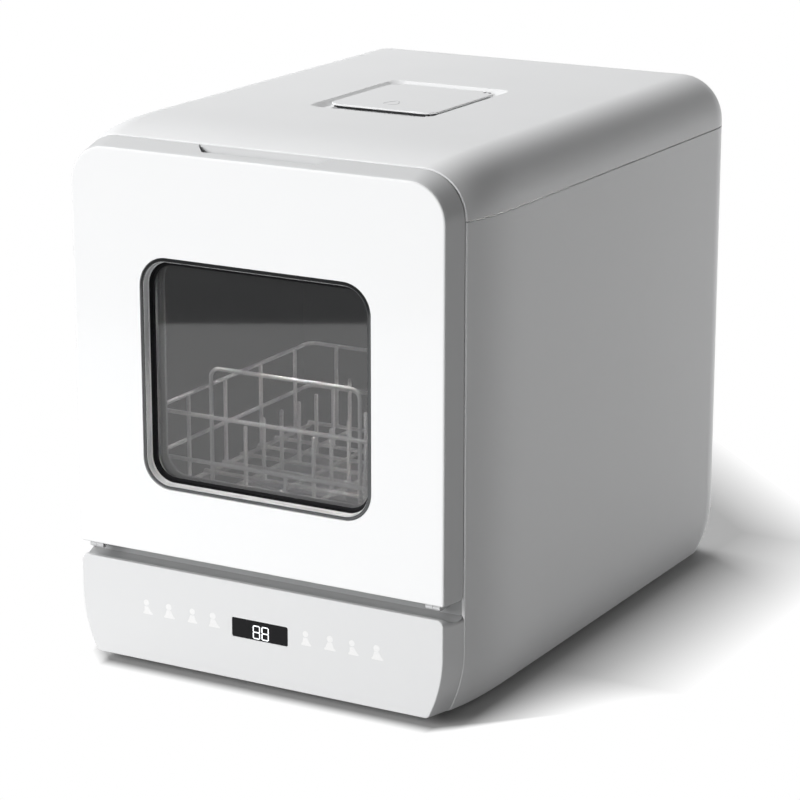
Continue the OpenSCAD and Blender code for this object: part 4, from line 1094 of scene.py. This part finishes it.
@dataclass
class Door(Maker):
    """Drop-down door: flared edge band, front panel, finger notch and window surround."""

    face_half: float = 165.5  # half width of the face
    low: float = 100.0  # height of the lower edge
    top: float = 423.5  # height of the face's upper edge
    corner: float = 30.0  # radius of the face's upper corners
    flare: float = 6.0  # outward flare of the band
    depth: float = 21.5  # depth of the band
    heel: float = 1.5  # radius of the lower corners
    back_round: float = 3.5  # radius of the lower back edge
    seam: float = 1.85  # depth of the seam between the front panel and the band
    notch_half: float = 58.5  # half width of the finger notch at its back
    notch_front: float = 9.0  # depth of the notch's front edge
    notch_back: float = 20.6  # depth of the notch's back edge
    notch_side: float = 2.1  # depth of the notch's straight sides
    notch_slant: float = 9.0  # how much narrower the notch is at its front
    notch_drop: float = 11.0  # depth of the notch below the band
    win_half: float = 103.0  # half width of the window
    win_low: float = 155.5  # height of the window's lower edge
    win_top: float = 341.5  # height of the window's upper edge
    win_r: float = 24.0  # corner radius of the window
    groove: float = 1.2  # depth of the groove round the window
    ring: float = 2.0  # width of the ring that rises out of the groove
    lip: float = 2.55  # how far in the ring's crest ends
    reveal: float = 4.2  # width of the surround where it meets the pane
    pane: float = 10.0  # depth of the pane
    collar: float = 6.8  # depth where the black seal's collar begins
    reveal_steps: tuple[Flat, ...] = (  # depths of the reveal and how far it is grooved there
        (0.85, 0.0), (4.4, 0.0), (4.6, 0.9), (6.0, 0.9), (6.2, 0.0), (9.0, 0.0),
    )
    body = "door"

    def outline(self, depth: float, inset: float) -> list[Flat]:
        """Outline of the door at a depth.

        Args:
            depth: Depth behind the face.
            inset: How far the outline is shrunk.

        Returns:
            The closed loop.
        """
        grow = self.flare * depth / self.depth
        back = max(0.0, depth - (self.depth - self.back_round))
        rise = self.back_round - math.sqrt(max(0.0, self.back_round**2 - back**2))
        half = self.face_half + grow - inset
        corner = self.corner + grow - inset
        heel = max(0.3, self.heel - inset * 0.5)
        radii = [heel, corner, corner, heel]
        return rounded(-half, self.low + inset + rise, half, self.top + grow - inset, radii, 16)

    def window(self, inset: float) -> list[Flat]:
        """Outline of the window, shrunk by inset and in step with the door's outline."""
        half, r = self.win_half - inset, self.win_r - inset
        return rounded(-half, self.win_low + inset, half, self.win_top - inset, [r] * 4, 16)

    def band_top(self, depth: float) -> float:
        """Height of the band's upper face at a depth."""
        return self.top + self.flare * depth / self.depth

    def band(self) -> None:
        """Models the flared edge band behind the front panel."""
        a = self.seam + 0.1
        profile = [(4.6, 2.6), (a, 2.6), (a, 0.5), (a + 0.1, 0.15), (a + 0.35, 0.0)]
        profile += [(d, 0.0) for d in (5.0, 9.0, 13.0, 16.0, 18.0, 19.4, 20.4)]
        profile += [(20.9, 0.08), (21.3, 0.35), (self.depth, 0.9)]
        profile += [(self.depth, 2.5), (18.0, 2.5), (6.0, 2.5), (4.6, 2.6)]
        band = Bench.weave("door_band", [upright(self.outline(d, inset), d) for d, inset in profile])
        front = self.notch_half - self.notch_slant
        side = self.notch_back - self.notch_side
        plan = [(-self.notch_half, self.notch_back), (-self.notch_half, side), (-front, self.notch_front)]
        plan += [(-x, y) for x, y in reversed(plan)]
        plan.append(plan[0])
        rows = [level(plan, self.top + rise) for rise in (-6.0, 20.0)]
        Bench.cut(band, Bench.capped("notch_cutter", rows))
        self.finish(band, Paint.TRIM, "casing_grey", ["door_frame"])

    def notch(self) -> None:
        """Models the sheet of the finger notch: a steep front, a floor and a back that slopes up."""
        rows = []
        steps = 30
        front = self.notch_half - self.notch_slant
        rim = self.band_top(self.notch_back)
        floor = rim - self.notch_drop
        for i in range(-steps, steps + 1):
            x = self.notch_half * i / steps
            past = max(0.0, abs(x) - front) / self.notch_slant
            near = self.notch_front + past * (self.notch_back - self.notch_side - self.notch_front)
            span = self.notch_back - near
            skin = self.band_top(near)
            row = [(near - 0.6, skin - 0.9), (near - 0.1, skin - 0.5), (near + 0.04 * span, skin - 2.6)]
            row += [(near + 0.08 * span, floor + 0.8), (near + 0.16 * span, floor)]
            row += [(near + 0.6 * span, floor), (near + 0.64 * span, floor + 0.5)]
            row.append((near + 0.955 * span, rim - 0.8))
            row += [(self.notch_back - 0.1, rim - 0.12), (self.notch_back + 0.1, rim - 0.1)]
            rows.append([(x, y, z) for y, z in row])
        sheet = Bench.weave("notch_sheet", rows, face_out=(0.0, 1.0, 0.0))
        self.finish(sheet, Paint.TRIM, "casing_grey", angle=50.0)

    def front(self) -> None:
        """Models the glossy front panel with its rounded outer edge and window opening."""
        back = self.seam + 1.0
        outside = [(back, 2.9), (self.seam - 0.05, 2.7), (self.seam - 0.05, 0.25), (1.55, 0.05)]
        outside += [(1.3, 0.0), (0.9, 0.05), (0.55, 0.25), (0.25, 0.6), (0.06, 1.1), (0.0, 1.7)]
        inside = [(0.0, 0.9), (0.06, 0.62), (0.25, 0.42), (0.6, 0.32), (1.2, 0.3), (back, 0.3)]
        rows = [upright(self.outline(d, inset), d) for d, inset in outside]
        rows += [upright(self.window(-outset), d) for d, outset in inside]
        panel = Bench.weave("front_panel", [*rows, rows[0]])
        self.finish(panel, Paint.GLOSS_WHITE, "glossy_white", ["door_front_panel"])

    def around(self, name: str, profile: Sequence[Flat]) -> Piece:
        """Carries the window's outline through a profile of depths and insets."""
        return Bench.weave(name, [upright(self.window(inset), d) for d, inset in profile])

    def window_ring(self) -> None:
        """Models the ring that rises out of the groove round the window."""
        turns = [math.radians(a) for a in range(0, 91, 15)]
        rise = [(self.groove * (1.0 - math.sin(a)), self.ring * (1.0 - math.cos(a))) for a in turns]
        root, lip = 3.4, self.lip
        profile = [(root, 0.0), *rise, (0.02, lip - 0.15), (0.15, lip), (0.7, lip + 0.05)]
        profile += [(root, lip + 0.05), (root, 0.0)]
        self.finish(self.around("window_ring", profile), Paint.RING, "casing_grey", angle=40.0)

    def window_reveal(self) -> None:
        """Models the grooved reveal between the ring and the pane."""
        rear, outer, seat, lip = 18.6, 0.05, self.pane + 0.03, self.lip
        slope = (self.reveal - lip) / self.pane
        inner = [(d, lip + 0.2 + slope * d - cut) for d, cut in self.reveal_steps]
        profile = [(rear, outer), (3.5, outer), (3.5, lip - 0.2), (0.75, lip - 0.2), (0.7, lip + 0.08)]
        profile += [*inner, (9.2, self.reveal + 0.5), (9.6, self.reveal + 0.7)]
        profile += [(seat, self.reveal + 0.7), (seat, 1.8), (rear, 1.8), (rear, outer)]
        reveal = self.around("window_reveal", profile)
        self.finish(reveal, Paint.REVEAL, "casing_grey", ["window_bezel"])

    def pane_seal(self) -> None:
        """Models the black seal on the pane, with its collar inside the reveal."""
        face, rear = self.pane - 0.16, self.pane + 0.03
        near, far = self.reveal + 0.6, self.reveal + 3.0
        profile = [(self.collar, near - 1.1), (self.collar, near - 0.3), (face - 0.3, near + 0.3)]
        profile += [(face, near + 0.5), (face, far - 0.1), (face + 0.05, far), (rear, far)]
        profile += [(rear, near), (9.0, near - 0.8), profile[0]]
        self.finish(self.around("pane_seal", profile), Paint.BLACK_GLOSS, "black_gloss")

    def build(self) -> None:
        """Models the door."""
        self.band()
        self.notch()
        self.front()
        self.window_ring()
        self.window_reveal()
        self.pane_seal()


# ---------------------------------------------------------------- control fascia


@dataclass
class Fascia(Bellied):
    """Control fascia with its display figures and touch glyphs."""

    half: float = 165.5  # half width of its face
    low: float = 8.0  # height of its lower edge
    top: float = 89.0  # height of its upper edge
    depth: float = 22.4  # depth of its band
    flare: float = 6.0  # outward flare of its sides
    flare_d: float = 21.5  # depth over which the sides flare
    corner: float = 5.5  # radius of the upper corners
    wall: float = 3.0  # wall thickness
    cove: float = 14.0  # radius of the cove in its top
    seat_mid: Flat = (2.5, 51.8)  # place of the display's middle
    seat_w: float = 51.4  # width of the display
    seat_h: float = 16.0  # height of the display
    digit_xs: Flat = (-3.9, 4.1)  # left sides of the two figures
    digit_low: float = 44.9  # height of the figures' lower edge
    digit_high: float = 56.1  # height of their upper edge
    digit_w: float = 6.6  # width of a figure
    bar: float = 0.85  # width of the figures' bars
    # places of the touch glyphs
    glyph_xs: tuple[float, ...] = (-102.7, -82.1, -60.4, -39.8, 45.0, 66.3, 87.4, 108.6)
    glyph_z: float = 47.8  # height of the glyphs' lower edge

    def outline(self, depth: float, inset: float) -> list[Flat]:
        """Front view of the fascia at a depth.

        Args:
            depth: Depth behind the face.
            inset: How far the outline is shrunk.

        Returns:
            The closed loop.
        """
        half = self.half + self.flare * min(depth, self.flare_d) / self.flare_d - inset
        knee, foot = self.low + self.belly_h, 3.0
        side: list[Flat] = []
        steps = 12
        for i in range(steps + 1):
            z = self.low + foot + (self.belly_h - foot) * i / steps
            side.append((self.drawn_in(half, knee - z), z))
        slope, low = side[0][0], self.low + inset
        heel = [(slope - 4.2, low), (slope - 2.6, low + 0.25)]
        heel += [(slope - 1.3, low + 0.95), (slope - 0.5, low + 1.9)]
        head = arc(half - self.corner, self.top - inset - self.corner, self.corner, 0, 90, 8)
        right = [(heel[0][0] * k, low) for k in (0.33, 0.66)] + heel + side + head
        right += [((half - self.corner) * k, self.top - inset) for k in (0.66, 0.33)]
        loop = right + [(-x, z) for x, z in reversed(right)]
        return loop + [loop[0]]

    def seat(self, inset: float) -> list[Flat]:
        """Outline of the display's seat, shrunk by inset."""
        (x, z), half, tall = self.seat_mid, self.seat_w / 2 - inset, self.seat_h / 2 - inset
        return rounded(x - half, z - tall, x + half, z + tall, [1.6 - inset] * 4, 6)

    def shell(self) -> None:
        """Models the fascia's body."""
        profile = [(self.depth, 0.0), (14.0, 0.0), (6.0, 0.0), (1.1, 0.0)]
        profile += [(0.45, 0.12), (0.12, 0.4), (0.0, 0.9)]
        body = Bench.capped("fascia_shell", [upright(self.outline(d, g), d) for d, g in profile])
        roof, behind, reach = self.top - 9.0, 40.0, 200.0
        rows = [[(x, d, min(z, roof)) for x, z in self.outline(d, self.wall)] for d in (behind, self.wall)]
        Bench.cut(body, Bench.capped("hollow", rows))
        ends = [(x, self.cove, self.top + 9.5) for x in (-reach, reach)]
        Bench.cut(body, Bench.rod("cove", *ends, self.cove, 96))
        Bench.cut(body, Bench.capped("seat", [upright(self.seat(0.0), d) for d in (-3.0, 8.0)]))
        Bench.bevel(body, 0.3, 2, 50)
        self.finish(body, Paint.FASCIA, "glossy_white", ["control_fascia"])

    def figures(self) -> None:
        """Models the display's two figures, each of seven lit bars."""
        low, high, bar = self.digit_low, self.digit_high, self.bar
        front, back, soft = -0.03, 0.06, 0.03
        middle = (low + high) / 2
        parts = []
        for x0 in self.digit_xs:
            x1 = x0 + self.digit_w - bar
            for z in (low + bar / 2, middle, high - bar / 2):
                ends = (x0 + bar, front, z - bar / 2), (x1, back, z + bar / 2)
                parts.append(Bench.block("bar", *ends, soft))
            for x in (x0, x1):
                for z0, z1 in ((low + 0.6, middle - 0.35), (middle + 0.35, high - 0.6)):
                    parts.append(Bench.block("bar", (x, front, z0), (x + bar, back, z1), soft))
        self.finish(Bench.join("display_figures", parts), Paint.FIGURE, "black_gloss")

    def glyph(self, x: float, wide: float, lean: float, head: float) -> Piece:
        """One touch glyph: a round head over a base that spreads downwards.

        Args:
            x: Middle of the glyph.
            wide: Width of its base.
            lean: How far the head stands to the left of the middle.
            head: Radius of the head.

        Returns:
            The glyph, slightly raised.
        """
        z, half, head_x = self.glyph_z, wide / 2, x - lean
        body = [(x - half, z), (x + half, z), (x + half + 0.3, z + 1.0), (x + wide * 0.36, z + 2.4)]
        body += [(head_x + head * 0.75, z + 6.4), (head_x - head * 0.75, z + 6.4)]
        body += [(x - wide * 0.4, z + 2.4), (x - half - 0.3, z + 1.0)]
        depths = (0.06, -0.06)
        base = Bench.capped("glyph", [upright([*body, body[0]], d) for d in depths])
        cap = Bench.rod("glyph_head", *((head_x, d, z + 12.0 - head) for d in depths), head, 24)
        return Bench.join("glyph", [base, cap])

    def glyphs(self) -> None:
        """Models the eight touch glyphs, each a little different."""
        parts = []
        for i, x in enumerate(self.glyph_xs):
            parts.append(self.glyph(x, 8.6 + 1.2 * (i % 2), 1.4 - 0.7 * (i % 3), 2.5 + 0.25 * (i % 2)))
        glyphs = Bench.join("touch_glyphs", parts)
        self.finish(glyphs, Paint.GLYPH, "glossy_white")

    def build(self) -> None:
        """Models the fascia."""
        self.shell()
        self.figures()
        self.glyphs()


# ---------------------------------------------------------------- finishes of the carried-over nodes


@dataclass
class Dressing:
    """Finishes of the CAD nodes that stay visible."""

    plan: tuple[tuple[Paint, str], ...] = (  # names of the nodes by their finish
        (Paint.CASING, "rear_cover"),
        (Paint.TRAY, "base_tray front_frame"),
        (Paint.TRIM, "hinge_bracket_left hinge_bracket_right door_hinge_arms inlet_port"),
        (Paint.LINER, "door_liner tub_floor rack_rails rack_glides"),
        (Paint.SUDS_GREY, "spray_arm spray_hub filter_cup wash_impeller drain_impeller"),
        (Paint.DARK, "latch_housing door_switch sump wash_pump drain_pump drain_port"),
        (Paint.DARK, "power_gland fan_housing fan_rotor"),
        (Paint.BLACK_GLOSS, "display_window"),
        # painted shade: nearly black steel for the tub and its back wall
        (Paint.TUB, "tub_wrapper"),
        (Paint.STEEL, "filter_plate water_heater"),
        (Paint.SHADED_TUB_BACK, "tub_back_wall"),
        (Paint.PIN, "hinge_pins door_strike latch_plunger latch_spring lid_pin screws"),
        (Paint.WIRE, "rack_base rack_front rack_left_wall rack_right_wall rack_back_wall rack_tines"),
        (Paint.RUBBER, "feet door_gasket internal_hoses"),
        (Paint.WINDOW, "window_glass"),
        (Paint.INNER_PANE, "inner_glass"),
        (Paint.BOARD, "control_board"),
        (Paint.TANK, "water_tank fill_funnel"),
        (Paint.LAMP, "tub_lamp"),
    )

    def dress(self, nodes: dict[str, Piece]) -> None:
        """Gives each node its finish.

        Args:
            nodes: CAD nodes by name.
        """
        for paint, names in self.plan:
            for name in names.split():
                if name not in nodes:
                    LOG.warning("no node %s", name)
                    continue
                mesh = nodes[name].data
                mesh.materials.clear()
                mesh.materials.append(paint.material())


# ---------------------------------------------------------------- studio


@dataclass(frozen=True)
class Lamp:
    """A soft square lamp that glossy surfaces do not mirror."""

    name: str  # name of the lamp
    at: Point  # its place in metres
    aim: Point  # what it points at
    size: float  # edge of its face in metres
    power: float  # power in watts

    def hang(self) -> None:
        """Adds the lamp to the scene."""
        data = bpy.data.lights.new(self.name, "AREA")
        data.shape = "SQUARE"
        data.size = self.size
        data.energy = self.power
        obj = bpy.data.objects.new(self.name, data)
        obj.location = self.at
        obj.rotation_euler = (Vector(self.aim) - Vector(self.at)).to_track_quat("-Z", "Y").to_euler()
        obj.visible_glossy = False
        bpy.context.scene.collection.objects.link(obj)


@dataclass
class Studio:
    """Camera, lamps, floor and background."""

    camera_at: Point = (1.186, -2.134, 0.859)  # place of the camera in metres
    yaw: float = 29.475  # turn of the camera in degrees
    pitch: float = 15.64  # how far it looks down, in degrees
    lens: float = 135.0  # focal length in millimetres
    # a point on the floor's front edge, which sets the line of light in the pane
    floor_edge: Flat = (-0.679, -1.221)
    side_x: float = 0.171  # where the shadow beside the machine begins to fade
    front_y: float = -0.258  # where the shadow before the machine begins to fade
    left_x: float = -0.168  # where the shadow on the left begins to fade
    front_span: Flat = (-0.145, 0.155)  # between these places the shadow reaches furthest forward
    dull: float = 0.41  # grey of the floor for light that falls on the machine
    lit: float = 0.45  # grey of the floor where the machine's shadow shows
    sky: float = 0.022  # strength of the even sky
    gleam: float = 0.16  # how much stronger mirrors show it
    lamps: tuple[Lamp, ...] = (
        Lamp("front_lamp", (-3.0, -6.2, 3.2), (0.0, -0.26, 0.22), 3.0, 450.0),
        Lamp("brow_lamp", (0.9, -5.0, 0.9), (0.0, -0.2, 0.3), 1.5, 62.0),
        Lamp("top_lamp", (-2.4, 1.1, 3.2), (0.0, 0.0, 0.4), 1.8, 142.0),
        Lamp("rear_lamp", (0.9, 3.2, 0.4), (0.1, 0.2, 0.2), 0.7, 82.0),
    )

    def camera(self) -> None:
        """Sets the camera up."""
        data = bpy.data.cameras.new("camera")
        data.lens = self.lens
        data.sensor_width = 36.0
        data.clip_start, data.clip_end = 0.05, 50.0
        obj = bpy.data.objects.new("camera", data)
        obj.location = self.camera_at
        obj.rotation_euler = (math.radians(90.0 - self.pitch), 0.0, math.radians(self.yaw))
        bpy.context.scene.collection.objects.link(obj)
        bpy.context.scene.camera = obj

    def whiteness(self, g: Graph) -> Wire:
        """How far the floor has faded from the machine's shadow to white.

        Args:
            g: The floor's material.

        Returns:
            0 in the shadow, 1 on the white floor.
        """
        x, y, _ = g.axes(g.place())
        steep = 8.2 + ((-0.1 - y) * 7.7).clamp() * 13.0
        right = ((x - self.side_x + (y - 0.3).clamp()) * steep).clamp()
        start, end = self.front_span
        corner = (x - end).clamp() + (start - x).clamp()
        front = ((self.front_y - y + corner) * 70.0).clamp()
        left = ((self.left_x - x) * 60.0).clamp()
        return (right + front + left).clamp()

    def floor(self) -> None:
        """Adds the floor: it keeps the machine's shadow and fades to white, and is dull to soft light."""
        size, drop = 16.0, 0.0002
        Bench.clear()
        bpy.ops.mesh.primitive_plane_add(size=size, location=(0.0, size / 2, -drop))
        obj = bpy.context.active_object
        obj.name = "floor"
        bpy.ops.object.transform_apply(location=True, rotation=False, scale=False)
        with Bench.editing(obj):
            turn = math.radians(self.yaw)
            bpy.ops.transform.rotate(value=turn, orient_axis="Z", center_override=(0.0, 0.0, 0.0))
            bpy.ops.transform.translate(value=(*self.floor_edge, 0.0))
        g = Graph(bpy.data.materials.new("floor_paint"))
        dull = g.wire("ShaderNodeBsdfDiffuse", {"Color": (self.dull, self.dull, self.dull, 1.0)})
        lit = g.wire("ShaderNodeBsdfDiffuse", {"Color": (self.lit, self.lit, self.lit, 1.0)})
        white = g.wire("ShaderNodeEmission", {"Color": WHITE, "Strength": 1.0})
        path = g.node("ShaderNodeLightPath", {})
        seen = (Wire(g, path.outputs["Is Camera Ray"]) + Wire(g, path.outputs["Is Glossy Ray"])).clamp()
        shown = g.mixed(seen, dull, g.mixed(self.whiteness(g), lit, white))
        g.node("ShaderNodeOutputMaterial", {0: shown})
        obj.data.materials.append(g.owner)

    def world(self) -> None:
        """Sets the even sky, white to the camera and a dim room to mirrors."""
        g = Graph(bpy.data.worlds.new("studio"))
        bpy.context.scene.world = g.owner
        path = g.node("ShaderNodeLightPath", {})
        haze = Wire(g, path.outputs["Is Glossy Ray"]) * self.gleam + self.sky
        soft = g.wire("ShaderNodeBackground", {"Color": WHITE, "Strength": haze})
        seen = g.wire("ShaderNodeBackground", {"Color": WHITE, "Strength": 1.0})
        shown = g.mixed(Wire(g, path.outputs["Is Camera Ray"]), soft, seen)
        g.node("ShaderNodeOutputWorld", {0: shown})

    def build(self) -> None:
        """Sets the studio up."""
        bpy.context.scene.view_settings.view_transform = "Standard"
        self.camera()
        self.world()
        self.floor()
        for lamp in self.lamps:
            lamp.hang()


def main() -> None:
    """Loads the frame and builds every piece."""
    logging.basicConfig(level=logging.INFO, format="%(message)s")
    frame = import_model()
    Studio().build()
    Dressing().dress(frame["nodes"])
    for part in (Casing(), InletLid(), Door(), Fascia()):
        LOG.info("building %s", type(part).__name__)
        part.build()


if __name__ == "__main__":
    main()
